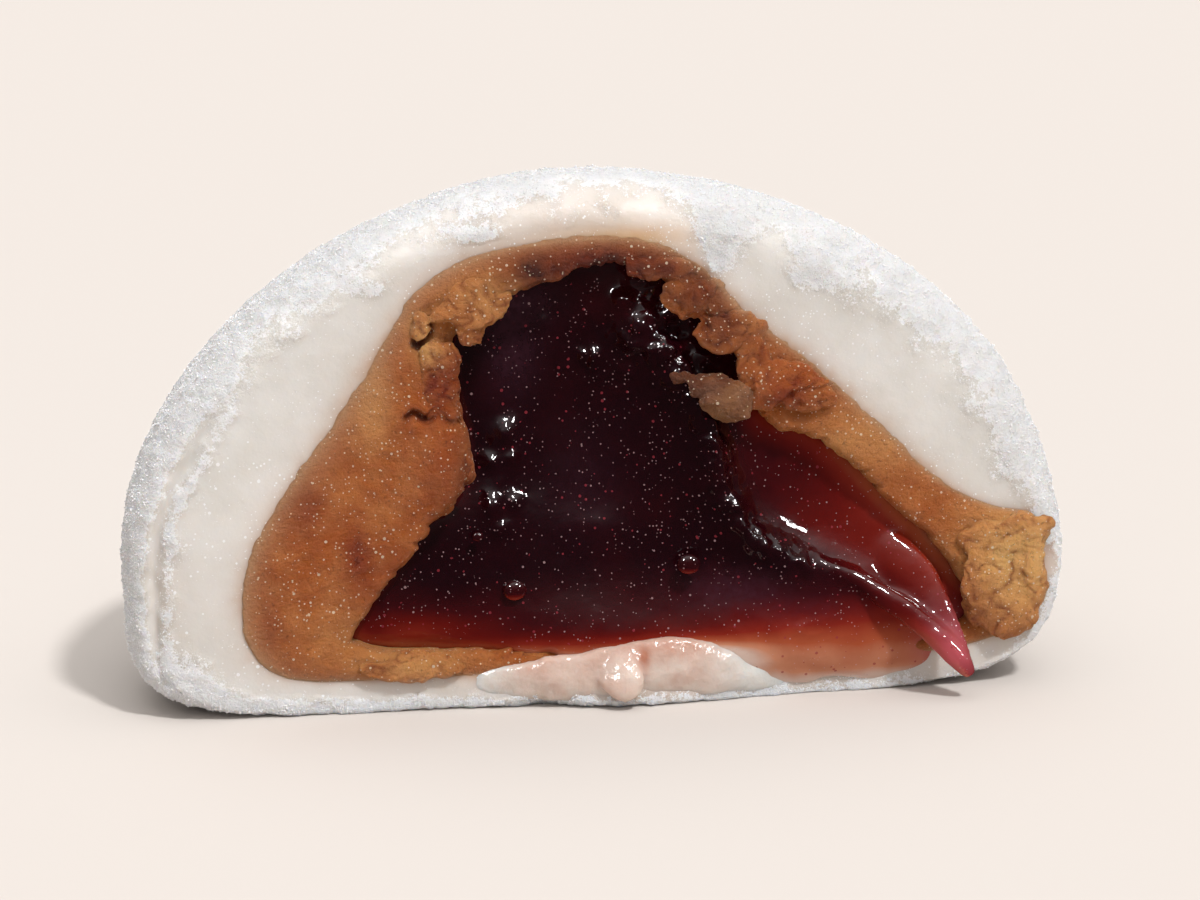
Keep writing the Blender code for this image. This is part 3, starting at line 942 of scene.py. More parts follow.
    def build(self) -> bpy.types.Object:
        """The whole skin: smooth form, fluffed outward where the flour lies."""
        rings, outward = self.rings()
        turn = np.linspace(-math.pi, math.pi, self.segments, endpoint=False)
        places = rings.reshape(-1, 3)
        flour = self.flour_cover(turn, places, outward)
        shown = smooth_step(outward.ravel(), -8.9, -8.0)
        fluff = 0.13 * layered_noise(places, 0.9, 21) + 0.12 * lattice_noise(places, 0.42, 24)
        fluff += 0.12 * np.maximum(layered_noise(places, 1.8, 27), 0)
        silk = 0.12 * layered_noise(places, 6.0, 31) + 0.03 * layered_noise(places, 1.5, 33)
        rings = swell_rings(rings, ((fluff + 0.06) * flour + silk * (1 - flour)) * shown)
        rings[..., 2] = np.maximum(rings[..., 2], 0.0)
        places = rings.reshape(-1, 3)
        across, up = places[:, 0], places[:, 2]
        turned, near = about_centre(across, up)
        edge = near - PASTE_OUTLINE.reach(turned)
        edge += 0.30 * layered_noise(places, 2.0, 35) + 0.15 * lattice_noise(places, 0.5, 37)
        edge = np.maximum(edge, 0)
        stain = 0.66 * np.exp(-((edge / 0.55) ** 1.2)) + 0.16 * np.exp(-edge / 1.7)
        # the mounds add real stains, and painted shade on the top of the rim and in the left crease
        stain += mounds(across, up, self.stains_and_shade)
        honey = 0.85 * mound(across, up, (3.5, 28.7), (5.5, 0.8)) * np.exp(-edge / 1.4)
        layers = {
            "flour": flour,
            "stain": stain * (places[:, 1] < 4),
            "honey": honey * (places[:, 1] < 2),
            # where the painted shade in the flour's pits shows: little near the cut, fully out on the dome
            "far": 0.12 + 0.88 * smooth_step(outward.ravel(), 2.2, 5.5),
        }
        mesh = Form.from_rings(rings).to_mesh("rice_skin", self.where)
        self.surface = {"rings": rings, "flour": flour.reshape(rings.shape[:2]), "outward": outward}
        for name, values in layers.items():
            paint(mesh, name, np.concatenate([[0.0], values, [values[-1]]]))
        return finish_piece("rice_skin", mesh, RiceDoughFinish().make(), Node.SKIN)


class GrainShape(Enum):
    """The two shapes that a flour grain takes."""

    SPLINTER = "splinter"
    CRYSTAL = "crystal"


GRAIN_CORNERS = {
    GrainShape.SPLINTER: np.array([[1, 1, 1], [-1, -1, 1], [-1, 1, -1], [1, -1, -1]], float),
    GrainShape.CRYSTAL: np.array([
        [1, 0, 0], [-1, 0, 0], [0, 1, 0], [0, -1, 0], [0, 0, 1], [0, 0, -1],
    ], float),
}
GRAIN_FACES = {
    GrainShape.SPLINTER: np.array([[0, 2, 1], [0, 1, 3], [0, 3, 2], [1, 2, 3]]),
    GrainShape.CRYSTAL: np.array([
        [0, 2, 4], [2, 1, 4], [1, 3, 4], [3, 0, 4], [2, 0, 5], [1, 2, 5], [3, 1, 5], [0, 3, 5],
    ]),
}


@dataclass
class FlourGrains:
    """One kind of flour grain: dense on the floury skin, scattered over the dough."""

    where: CutFrame
    skin: RiceSkin
    name: str
    shape: GrainShape
    count: int
    sizes: Pair
    seed: int

    def spread(self) -> tuple[Array, Array, Array]:
        """Places and normals of the grains, and how floury the skin is at each.

        Cells of the skin's grid are drawn by their area and by how many grains a square
        millimetre there holds; a grain then lies anywhere within its cell.
        """
        draw = np.random.default_rng(self.seed)
        surface = self.skin.surface
        rings, flour, outward = surface["rings"][:-1], surface["flour"][:-1], surface["outward"][:-1]
        down = surface["rings"][1:] - rings
        beside = np.roll(rings, -1, axis=1) - rings
        area = np.linalg.norm(np.cross(down, beside), axis=2)
        patches = np.maximum(layered_noise(rings.reshape(-1, 3), 1.6, 51).reshape(flour.shape) - 0.12, 0)
        density = flour * (7 + 40 * np.exp(-np.maximum(outward, 0) / 3.5))
        density += (1 - flour) * (0.8 + 34 * patches * np.exp(np.minimum(outward + 0.5, 0) / 2.2))
        weight = area * density * (outward > -8) * smooth_step(rings[..., 2], 0.1, 0.4)
        picked = draw.choice(weight.size, self.count, p=(weight / weight.sum()).ravel())
        sideways, across = draw.random((2, self.count, 1))
        places = rings.reshape(-1, 3)[picked] + down.reshape(-1, 3)[picked] * sideways
        places += beside.reshape(-1, 3)[picked] * across
        normals = ring_normals(surface["rings"])[:-1].reshape(-1, 3)[picked]
        return places, normals, flour.ravel()[picked]

    def build(self) -> bpy.types.Object:
        """All the grains of this kind as one mesh with sharp edges."""
        places, normals, flour = self.spread()
        draw = np.random.default_rng(self.seed + 1)
        size = self.sizes[0] + (self.sizes[1] - self.sizes[0]) * draw.random(self.count) ** 2.6
        size *= 0.62 + 0.38 * flour
        corners, faces = GRAIN_CORNERS[self.shape], GRAIN_FACES[self.shape]
        spin = np.linalg.qr(draw.normal(size=(self.count, 3, 3)))[0]
        spin *= np.sign(np.linalg.det(spin))[:, None, None]
        uneven = draw.uniform(0.55, 1.5, (self.count, len(corners), 1))
        lumps = np.einsum("nij,nkj->nki", spin, corners[None] * uneven * size[:, None, None])
        points = (places + normals * (size * 0.3)[:, None])[:, None] + lumps
        points[..., 2] = np.maximum(points[..., 2], 0.0)
        triangles = (faces[None] + len(corners) * np.arange(self.count)[:, None, None]).reshape(-1, 3)
        form = Form(points.reshape(-1, 3), np.zeros((0, 4), int), triangles)
        mesh = form.to_mesh(self.name, self.where, smooth=False)
        return finish_piece(self.name, mesh, FlourGrainFinish().make())


@dataclass
class WetDough:
    """Dough drawn out over the foot of the cut: a film, and the tongue that hangs from it."""

    where: CutFrame
    voxel: float = 0.14
    smoothing: int = 12
    bands: tuple[FourRows, ...] = (
        (
            (-8.5, 0.6, 1.6, 0.5), (-6.0, 0.0, 1.6, 0.9), (-3.4, -0.45, 1.7, 1.25), (0.0, -0.75, 1.9, 1.6),
            (3.0, -0.85, 2.2, 1.85), (6.0, -0.85, 2.3, 1.85), (8.4, -0.7, 1.9, 1.6), (10.4, -0.4, 1.4, 1.1),
            (12.6, 0.1, 1.1, 0.8), (15.0, 0.7, 0.9, 0.5),
        ),
        (
            (1.0, 0.3, 3.9, 0.8), (1.5, -0.8, 3.1, 1.2), (2.0, -1.55, 2.3, 1.4), (2.5, -2.05, 1.4, 1.1),
            (2.8, -2.15, 0.75, 0.6),
        ),
    )
    flat: float = 0.40

    def build(self) -> bpy.types.Object:
        """The film and the tongue fused and gently rippled."""
        tubes = [tube_rings(np.array(band), self.flat) for band in self.bands]
        form = Form.join([Form.from_rings(rings) for rings in tubes])
        mesh = fuse("wet_dough", form, self.where, self.voxel, self.smoothing)
        places = self.where.to_cut(mesh_rows(mesh.vertices, "co"))
        ripple = 0.16 * layered_noise(places, 1.9, 145) + 0.05 * lattice_noise(places, 0.7, 147)
        places += mesh_rows(mesh.vertex_normals, "vector") * ripple[:, None]
        places[:, 2] = np.maximum(places[:, 2], 0.02)
        move_points(mesh, self.where.to_model(places))
        across, up = places[:, 0], places[:, 2]
        stain = 0.55 * smooth_step(up, 2.2, 4.0) + 0.75 * mound(across, up, (3.5, 3.0), (0.4, 0.7))
        stain += 0.25 * mound(across, up, (-4.0, 2.4), (3.0, 0.7)) + 0.35 * smooth_step(across, 7.5, 11.0)
        stain += 0.25 * np.maximum(layered_noise(places, 1.1, 149), 0)
        paint(mesh, "stain", stain)
        paint(mesh, "plain", 1 - smooth_step(across, -7.5, -3.0) + smooth_step(across, 6.5, 10.5))
        return finish_piece("wet_dough", mesh, WetDoughFinish().make())


@dataclass(frozen=True)
class Crevice:
    """A crack in the face of the paste: its route over the face, its depth and its half width."""

    route: tuple[Pair, ...]
    depth: float
    half: float

    def cut(self, across: Array, up: Array) -> Array:
        """How deep the crack is at each place, tapering towards its ends."""
        flat = np.stack([across.ravel(), up.ravel()], axis=1)
        distance, _, along = beside_route(flat, flow_through(np.array(self.route), 4))
        taper = np.sqrt(np.clip(1 - (2 * along - 1) ** 2, 0, 1)) + 0.15
        return (self.depth * taper * np.exp(-((distance / self.half) ** 2))).reshape(across.shape)


@dataclass
class PasteColours:
    """Where on the cut the paste is red, golden or dark."""

    reds: Mounds = (
        (0.65, (-13.7, 10.0), (0.9, 2.0)),
        (0.35, (-13.0, 7.0), (2.0, 3.0)),
        (0.70, (-8.6, 20.6), (1.2, 2.2)),
        (0.45, (-8.4, 15.4), (1.6, 2.6)),
        (0.75, (12.3, 18.9), (2.0, 1.1)),
        (0.60, (-16.6, 13.0), (1.6, 1.8)),
        (0.45, (-18.9, 6.0), (0.8, 2.6)),
        (0.30, (25.0, 5.4), (1.6, 1.6)),
        (0.85, (1.0, 27.2), (6.5, 1.4)),
        (0.40, (9.0, 24.6), (2.4, 2.4)),
    )
    golds: Mounds = (
        (1.00, (27.0, 9.2), (3.6, 2.4)),
        (0.60, (27.2, 6.0), (2.2, 2.6)),
        (0.25, (24.8, 6.4), (1.6, 2.2)),
        (0.60, (-10.3, 3.0), (3.2, 1.0)),
        (0.30, (10.4, 24.2), (1.6, 1.4)),
        (0.40, (17.5, 15.8), (5.0, 2.2)),
        (0.50, (-6.2, 25.2), (2.4, 2.0)),
        (0.55, (-9.7, 23.8), (0.8, 0.9)),
        (0.70, (-9.3, 22.3), (0.9, 0.9)),
        (0.45, (-12.6, 19.4), (1.2, 3.0)),
        (0.30, (-14.0, 5.0), (3.0, 2.0)),
    )
    darks: Mounds = (
        (0.60, (0.8, 27.0), (5.0, 1.3)),
        (0.50, (6.6, 25.6), (2.2, 1.6)),
        (0.45, (8.2, 23.2), (1.6, 2.0)),
        (0.45, (-3.4, 26.6), (1.6, 1.2)),
        (0.35, (-7.2, 14.4), (0.9, 2.4)),
        (0.35, (-7.2, 19.8), (0.7, 3.0)),
    )

    def paint(self, mesh: bpy.types.Mesh, places: Array, hollow: Array) -> None:
        """Keeps the layers on a mesh; a hollow gets painted shade, dark and red, and the edge against the
        skin fades.
        """
        across, up, back = places[:, 0], places[:, 2], places[:, 1]
        blotch = 0.22 * layered_noise(places, 2.4, 81)
        paint(mesh, "red", mounds(across, up, self.reds) + blotch + 0.6 * np.minimum(hollow, 1))
        paint(mesh, "gold", mounds(across, up, self.golds) * (1 - np.minimum(hollow, 1)))
        # painted shade: dark where the paste lies more than a millimetre behind the cut and in its hollows;
        # the mounds are dark patches of the paste's own
        dark = mounds(across, up, self.darks) * (1 + 0.8 * layered_noise(places, 1.0, 83))
        paint(mesh, "dark", dark + 0.8 * smooth_step(back, 1.0, 2.4) + 0.45 * hollow)
        turned, near = about_centre(across, up)
        inset = PASTE_OUTLINE.reach(turned) - near
        width = 0.30 + 0.45 * smooth_step(-across, 6.0, 12.0)
        rim = 0.85 * np.exp(-np.maximum(inset + 0.12, 0) / width)
        paint(mesh, "fade", rim * (1 - smooth_step(-back, 0.5, 0.9)))


@dataclass
class BeanPaste:
    """The bean paste: a torn cup whose cut face is grainy and cracked."""

    where: CutFrame
    colours: PasteColours
    segments: int = 640
    face_rings: int = 54
    wall_rings: int = 8
    lining_rings: int = 8
    back_rings: int = 24
    back_depth: float = 21.5
    jelly_depth: float = 14.0
    forward: float = 0.3
    swellings: Mounds = (
        (0.9, (-9.0, 16.0), (3.0, 5.5)),
        (0.72, (-5.5, 26.0), (3.5, 2.0)),
        (0.4, (-15.5, 8.0), (5.0, 6.0)),
        (0.8, (26.0, 8.5), (2.6, 3.0)),
        (0.5, (-8.4, 15.0), (1.4, 2.2)),
        (0.5, (8.2, 24.2), (2.4, 1.6)),
    )
    crevices: tuple[Crevice, ...] = (
        Crevice(((-8.3, 24.6), (-9.2, 24.3), (-9.5, 23.3), (-9.9, 22.3)), 1.5, 0.42),
        Crevice((
            (-10.9, 18.0), (-10.2, 18.6), (-9.5, 18.2), (-8.8, 18.6), (-8.1, 18.0), (-7.3, 18.2),
        ), 0.8, 0.22),
        Crevice(((-7.6, 23.0), (-7.3, 21.5), (-7.1, 19.4)), 1.0, 0.45),
        Crevice(((-3.4, 27.4), (-3.0, 26.6), (-3.6, 25.6)), 0.8, 0.35),
        Crevice(((-13.9, 11.6), (-13.5, 10.4), (-13.7, 9.2)), 0.35, 0.16),
    )

    def face_depth(self, places: Array) -> tuple[Array, Array]:
        """How far back the cut face lies at each place, and how deep its cracks are there."""
        across, up = places[..., 0], places[..., 2]
        flat = places.reshape(-1, 3)
        broken = smooth_step(lattice_noise(flat, 0.8, 77), -0.6, 0.3).reshape(across.shape)
        cracks = broken * sum(crevice.cut(across, up) for crevice in self.crevices)
        crags = 0.26 * layered_noise(flat, 2.6, 71, 3, 0.6) + 0.15 * layered_noise(flat, 0.7, 75, 2)
        crags *= 1 - 0.7 * mound(flat[:, 0], flat[:, 2], (18.0, 15.0), (5.0, 3.0))
        level = crags.reshape(across.shape) - self.forward - mounds(across, up, self.swellings)
        return level + cracks, cracks

    def build(self) -> bpy.types.Object:
        """Rings from the bottom of the cavity, over the torn edge and the cut face, to the back."""
        turn = np.linspace(-math.pi, math.pi, self.segments, endpoint=False)
        circle = np.stack([14 * np.cos(turn), np.zeros_like(turn), 14 * np.sin(turn)], axis=-1)
        outer = PASTE_OUTLINE.reach(turn) + 0.24 + 0.42 * layered_noise(circle, 1.5, 45, 4, 0.7)
        torn = 0.55 * layered_noise(circle, 1.7, 41, 4, 0.6) + 0.35 * wrinkle_noise(circle, 0.9, 43)
        inner = np.minimum(jelly_reach(turn) + torn, outer - 0.55)
        part = np.linspace(0, 1, self.face_rings)[:, None]
        reach = inner * (1 - part) + outer * part
        face = filling_ring(turn, reach, np.zeros_like(reach))
        depth, cracks = self.face_depth(face)
        span = outer - inner
        flush = np.exp(-(1 - part) * span / 0.75)
        skin_face = -mounds(face[..., 0], face[..., 2], SKIN_SWELLINGS) - 0.05
        face[..., 1] = depth * (1 - flush) + skin_face * flush + 0.55 * np.exp(-part * span / 0.3)
        step = np.linspace(2.4, 0.3, self.wall_rings)[:, None]
        upright = np.broadcast_to(inner, (self.wall_rings, self.segments))
        walls = filling_ring(turn, upright, face[:1, :, 1] + step)
        lining = rounded_back(turn, inner, np.full_like(turn, 3.0), self.jelly_depth, self.lining_rings)[::-1]
        back = rounded_back(turn, outer, face[-1, :, 1] + 0.3, self.back_depth, self.back_rings)
        rings = np.concatenate([lining, walls, face, back])
        hollow = np.zeros(rings.shape[:2])
        start = self.lining_rings + self.wall_rings
        # the cracks' depth, which the colours turn into painted shade
        hollow[start:start + self.face_rings] = cracks
        form = Form.from_rings(rings)
        mesh = form.to_mesh("bean_paste_cup", self.where)
        self.colours.paint(mesh, form.points, np.concatenate([[1.0], hollow.ravel(), [0.0]]))
        return finish_piece("bean_paste_cup", mesh, BeanPasteFinish().make(), Node.PASTE)


@dataclass
class PasteChunks:
    """Chunks that have broken along the torn edge of the paste."""

    where: CutFrame
    colours: PasteColours
    voxel: float = 0.12
    smoothing: int = 2
    chunks: tuple[tuple[Triple, Triple], ...] = (
        ((-6.4, -0.8, 25.1), (2.5, 0.60, 1.9)),
        ((-6.8, -0.8, 23.5), (1.0, 0.50, 1.1)),
        ((-8.5, -0.6, 21.0), (1.3, 0.60, 2.5)),
        ((-9.7, -0.5, 23.9), (0.8, 0.45, 0.9)),
        ((-8.4, -0.5, 16.0), (1.6, 0.70, 2.4)),
        ((-9.2, -0.4, 13.6), (1.7, 0.60, 1.4)),
        ((-2.6, -0.1, 27.0), (2.4, 0.55, 1.0)),
        ((0.8, 0.1, 27.5), (2.4, 0.50, 0.8)),
        ((4.4, 0.0, 26.8), (2.3, 0.55, 0.9)),
        ((6.8, -0.2, 25.1), (2.0, 0.60, 1.4)),
        ((8.9, -0.4, 23.0), (1.9, 0.65, 1.8)),
        ((10.2, -0.4, 21.2), (1.5, 0.60, 1.6)),
        ((11.8, -0.8, 19.6), (2.5, 0.70, 1.4)),
        ((13.6, -0.6, 18.6), (1.5, 0.60, 1.0)),
        ((27.2, -0.7, 9.8), (2.0, 0.80, 1.6)),
        ((25.0, -0.7, 6.4), (2.2, 0.70, 2.8)),
        ((27.6, -0.6, 7.0), (1.2, 0.70, 2.5)),
        ((24.4, -0.5, 9.4), (1.7, 0.60, 1.6)),
        ((26.0, -0.6, 4.8), (1.7, 0.60, 1.4)),
        ((-10.4, -0.3, 3.0), (3.2, 0.60, 0.9)),
    )

    def build(self) -> bpy.types.Object:
        """The chunks fused where they touch, with a rough broken surface."""
        lumps = [broken_lump(centre, half, 60 + index) for index, (centre, half) in enumerate(self.chunks)]
        form = Form.join([Form.from_rings(rings) for rings in lumps])
        mesh = fuse("paste_chunks", form, self.where, self.voxel, self.smoothing)
        places = self.where.to_cut(mesh_rows(mesh.vertices, "co"))
        creases = wrinkle_noise(places, 0.9, 95)
        crags = 0.10 * layered_noise(places, 1.3, 91, 3, 0.6) - 0.12 * creases
        crags += 0.05 * lattice_noise(places, 0.3, 97)
        places += mesh_rows(mesh.vertex_normals, "vector") * crags[:, None]
        sideways = np.stack([layered_noise(places, 1.8, seed, 3, 0.65) for seed in (92, 93)], axis=1)
        places[:, [0, 2]] += 0.5 * sideways
        move_points(mesh, self.where.to_model(places))
        # deep creases get painted shade
        self.colours.paint(mesh, places, 0.8 * creases**3)
        return finish_piece("paste_chunks", mesh, BeanPasteFinish().make())


@dataclass
class JellyCore:
    """The jelly: a hollowed body, the ridge down its face, the lobe at its foot, and the drip."""

    where: CutFrame
    segments: int = 460
    face_rings: int = 110
    back_rings: int = 26
    voxel: float = 0.175
    smoothing: int = 9
    back_depth: float = 14.0
    behind: float = 0.6
    edge_roll: float = 0.7
    swellings: Mounds = (
        (-1.9, (-2.5, 19.5), (6.5, 8.0)),
        (-0.5, (14.5, 13.0), (4.5, 3.5)),
        (1.75, (14.0, 2.6), (9.0, 4.4)),
        (1.7, (0.5, 2.6), (6.5, 3.8)),
    )
    folds: Mounds = (
        (0.50, (-4.3, 16.5), (0.80, 0.85)),
        (0.40, (-5.3, 14.8), (0.50, 0.50)),
        (0.40, (-4.0, 14.9), (0.50, 0.50)),
        (0.50, (-5.3, 12.2), (0.60, 0.90)),
        (0.30, (-4.8, 10.8), (0.50, 0.50)),
        (0.25, (-3.9, 12.4), (0.40, 0.40)),
        (-0.30, (-2.8, 14.0), (1.2, 2.6)),
        (0.30, (0.8, 10.8), (2.2, 1.2)),
        (0.45, (2.6, 24.6), (0.60, 0.45)),
        (0.45, (4.0, 23.4), (0.75, 0.60)),
        (0.45, (5.6, 24.0), (0.55, 0.65)),
        (0.40, (3.2, 22.0), (0.65, 0.55)),
        (0.40, (5.3, 21.6), (0.60, 0.50)),
        (0.35, (1.0, 20.9), (0.50, 0.80)),
        (0.35, (7.6, 21.0), (0.65, 0.35)),
        (0.30, (-2.0, 23.2), (0.40, 0.40)),
    )
    ridge_heights: tuple[float, ...] = (0.2, 0.8, 1.2, 1.3, 1.4, 1.5, 1.5, 1.3, 1.0, 0.7, 0.4, 0.1)
    ridge_widths: Pair = (2.1, 1.05)
    strand: FourRows = (
        (13.4, 0.1, 8.7, 0.4), (15.6, -0.45, 7.7, 0.55), (17.6, -0.95, 6.7, 0.65), (19.4, -1.5, 5.5, 0.70),
        (20.9, -2.05, 4.3, 0.75), (22.1, -2.5, 3.2, 0.75), (22.9, -2.8, 2.2, 0.65), (23.35, -2.9, 1.45, 0.45),
    )
    sheet: FourRows = (
        (16.0, 2.2, 9.4, 1.4), (17.9, 1.15, 8.2, 2.0), (19.7, 0.15, 6.8, 2.1), (21.0, -0.95, 5.2, 1.65),
        (22.0, -1.85, 3.8, 1.15), (22.8, -2.45, 2.6, 0.75), (23.3, -2.7, 1.6, 0.45),
    )
    sheet_flat: float = 0.34
    # patches where a soft reflection is painted over the jelly as a mauve haze
    reflection_hazes: Mounds = (
        (0.65, (-4.0, 24.4), (2.6, 1.3)),
        (0.55, (-3.9, 21.2), (1.5, 2.2)),
        (0.20, (0.2, 13.0), (2.2, 3.0)),
        (0.55, (9.4, 6.8), (3.2, 1.1)),
        (0.30, (14.0, 5.4), (3.6, 0.8)),
    )
    crinkles: Mounds = (
        (1.00, (4.4, 22.4), (3.2, 2.8)),
        (0.30, (-4.5, 14.5), (1.6, 4.0)),
        (0.40, (-4.5, 25.0), (3.0, 1.5)),
        (0.50, (-0.5, 20.5), (1.6, 1.4)),
        (0.15, (0.8, 10.8), (2.6, 1.5)),
    )
    paler: Mounds = (
        (0.30, (-10.0, 4.6), (3.5, 1.5)),
        (0.35, (6.5, 2.6), (3.5, 1.5)),
        (0.10, (4.0, 25.0), (5.0, 1.8)),
    )
    bubbles: tuple[tuple[Triple, float], ...] = (
        ((6.35, -0.60, 8.6), 0.72),
        ((-4.1, 0.20, 7.2), 0.72),
        ((-6.3, 0.35, 10.6), 0.34),
    )

    def body(self) -> Array:
        """Rings of the body: its face in the cut, a rolled edge, and a rounded back."""
        turn = np.linspace(-math.pi, math.pi, self.segments, endpoint=False)
        outer = self.over_sill(turn, jelly_reach(turn) + 0.45)
        part = (np.arange(1, self.face_rings) / (self.face_rings - 1))[:, None] ** 0.8
        face = filling_ring(turn, outer * part, np.zeros((self.face_rings - 1, self.segments)))
        across, up = face[..., 0], face[..., 2]
        forward = mounds(across, up, self.swellings) + self.ridge(across, up)
        face[..., 1] = self.behind - forward + self.edge_roll * part**6
        back = rounded_back(turn, outer, face[-1, :, 1] + 0.2, self.back_depth, self.back_rings)
        return np.concatenate([face, back])

    @staticmethod
    def over_sill(turn: Array, reach: Array) -> Array:
        """The reach drawn out downwards, where a film of jelly runs over the sill to a wavy level."""
        side = np.degrees(turn)
        level = 3.0 - 2.35 * smooth_step(side, -84, -58)
        level += 0.18 * np.sin(side / 3.1) + 0.12 * np.sin(side / 1.3 + 2)
        there = smooth_step(side, -146, -124) * (1 - smooth_step(side, -24, -14))
        lower = (FILLING_CENTRE[1] - level) / np.maximum(-np.sin(turn), 0.2)
        return reach + there * np.maximum(lower - reach, 0)

    def ridge(self, across: Array, up: Array) -> Array:
        """How far the ridge stands forward: gently sloping on its left, steep on its right."""
        flat = np.stack([across.ravel(), up.ravel()], axis=1)
        distance, side, along = beside_route(flat, flow_through(RIDGE_LINE, 4))
        stations = np.linspace(0, 1, len(self.ridge_heights))
        height = np.interp(along, stations, self.ridge_heights)
        width = np.where(side > 0, self.ridge_widths[1], self.ridge_widths[0])
        return (height * np.exp(-((distance / width) ** 1.5))).reshape(across.shape)

    def relief(self, places: Array) -> tuple[Array, Array]:
        """How far the wet surface is puckered outward, and how rough it is, at each place."""
        across, up = places[:, 0], places[:, 2]
        flat = np.stack([across, up], axis=1)
        distance, _, along = beside_route(flat, flow_through(RIDGE_LINE, 4))
        crest = np.exp(-((distance / 0.9) ** 2)) * smooth_step(along, 0.05, 0.2)
        crinkled = mounds(across, up, self.crinkles) + crest * (1 - smooth_step(along, 0.55, 0.75))
        crinkled = np.clip(crinkled, 0, 1)
        lift = 0.10 * layered_noise(places, 3.2, 101, 2) + 0.03 * lattice_noise(places, 1.1, 104)
        pucker = 0.26 * wrinkle_noise(places, 1.5, 107) + 0.14 * layered_noise(places, 0.7, 109, 2)
        lift += crinkled * (pucker - 0.10)
        lift += 0.12 * crest * lattice_noise(places, 0.8, 112)
        lift += mounds(across, up, self.folds)
        film = mound(across, up, (13.0, 4.0), (5.0, 1.8))
        lift += 0.16 * film * wrinkle_noise(places * (0.5, 1.0, 1.0), 1.6, 113)
        return lift, 0.04 + 0.96 * crinkled + 0.12 * film

    def build(self) -> bpy.types.Object:
        """The body, the strand and the sheet that draw out into the drip, fused and then puckered."""
        parts = [
            self.body(),
            tube_rings(np.array(self.strand)),
            tube_rings(np.array(self.sheet), self.sheet_flat),
        ]
        form = Form.join([Form.from_rings(rings) for rings in parts])
        mesh = fuse("dark_jelly_core", form, self.where, self.voxel, self.smoothing)
        places = self.where.to_cut(mesh_rows(mesh.vertices, "co"))
        front = smooth_step(-places[:, 1], -4.0, -2.2)
        lift, rough = self.relief(places)
        places += mesh_rows(mesh.vertex_normals, "vector") * (lift * front)[:, None]
        move_points(mesh, self.where.to_model(places))
        self.colour(mesh, places, rough)
        return finish_piece("dark_jelly_core", mesh, DarkJellyFinish().make(), Node.JELLY)

    def build_bubbles(self) -> bpy.types.Object:
        """The air bubbles, each a low dome on the wet face."""
        domes = [
            Form.from_rings(soft_ball(centre, (radius, 0.55 * radius, 0.85 * radius), 0.02, 150 + index, 32))
            for index, (centre, radius) in enumerate(self.bubbles)
        ]
        form = Form.join(domes)
        mesh = form.to_mesh("jelly_bubbles", self.where)
        middles = np.repeat([centre[2] for centre, _ in self.bubbles], [len(dome.points) for dome in domes])
        # painted reflection: the lower half of each bubble is painted paler as if thinner, and its top stays
        # dark
        extra = 0.10 + 0.42 * smooth_step(middles - form.points[:, 2], 0.05, 0.5)
        self.colour(mesh, form.points, np.zeros(len(form.points)), extra)
        return finish_piece("jelly_bubbles", mesh, DarkJellyFinish().make())

    def colour(self, mesh: bpy.types.Mesh, places: Array, rough: Array, extra: float | Array = 0.0) -> None:
        """Keeps how thin, pink and rough the jelly is at each point, and where a soft reflection is painted
        as a mauve haze.
        """
        across, up = places[:, 0], places[:, 2]
        flat = np.stack([across, up], axis=1)
        distance, side, along = beside_route(flat, flow_through(RIDGE_LINE, 4))
        above = smooth_step(side * distance, 0.0, 2.4) * smooth_step(along, 0.1, 0.3)
        below = 1 - smooth_step(side * distance, -0.6, 0.6)
        turned, near = about_centre(across, up)
        inset = jelly_reach(turned) - near
        thin = above * (0.18 + 0.32 * smooth_step(across + 0.25 * (14 - up), 9.0, 21.0))
        thin += above * 0.30 * np.exp(-((inset / 1.3) ** 2)) * smooth_step(up, 4, 9)
        thin += 0.34 * (1 - below) * smooth_step(across, 12.0, 18.0) * (1 - above)
        right = smooth_step(across, 5.0, 13.5)
        thin += below * smooth_step(8.8 - up, 0.0, 6.6) * (0.42 + 0.42 * right)
        thin += below * 0.52 * smooth_step(4.9 - up, 0.0, 2.0) * (1 - right) * smooth_step(across, -8.5, -3.0)
        thin += mounds(across, up, self.paler) + 0.20 * smooth_step(2.0 - up, 0.0, 1.5)
        thin += 0.22 * np.exp(-((inset / 0.7) ** 2)) * smooth_step(-across, 4.0, 7.0)
        paint(mesh, "thin", thin + 0.06 * layered_noise(places, 3.0, 115) + extra)
        paint(mesh, "drip", mound(across, up, (22.2, 2.9), (1.6, 1.9)) * 0.85)
        paint(mesh, "reflection_haze", mounds(across, up, self.reflection_hazes))
        paint(mesh, "rough", rough)


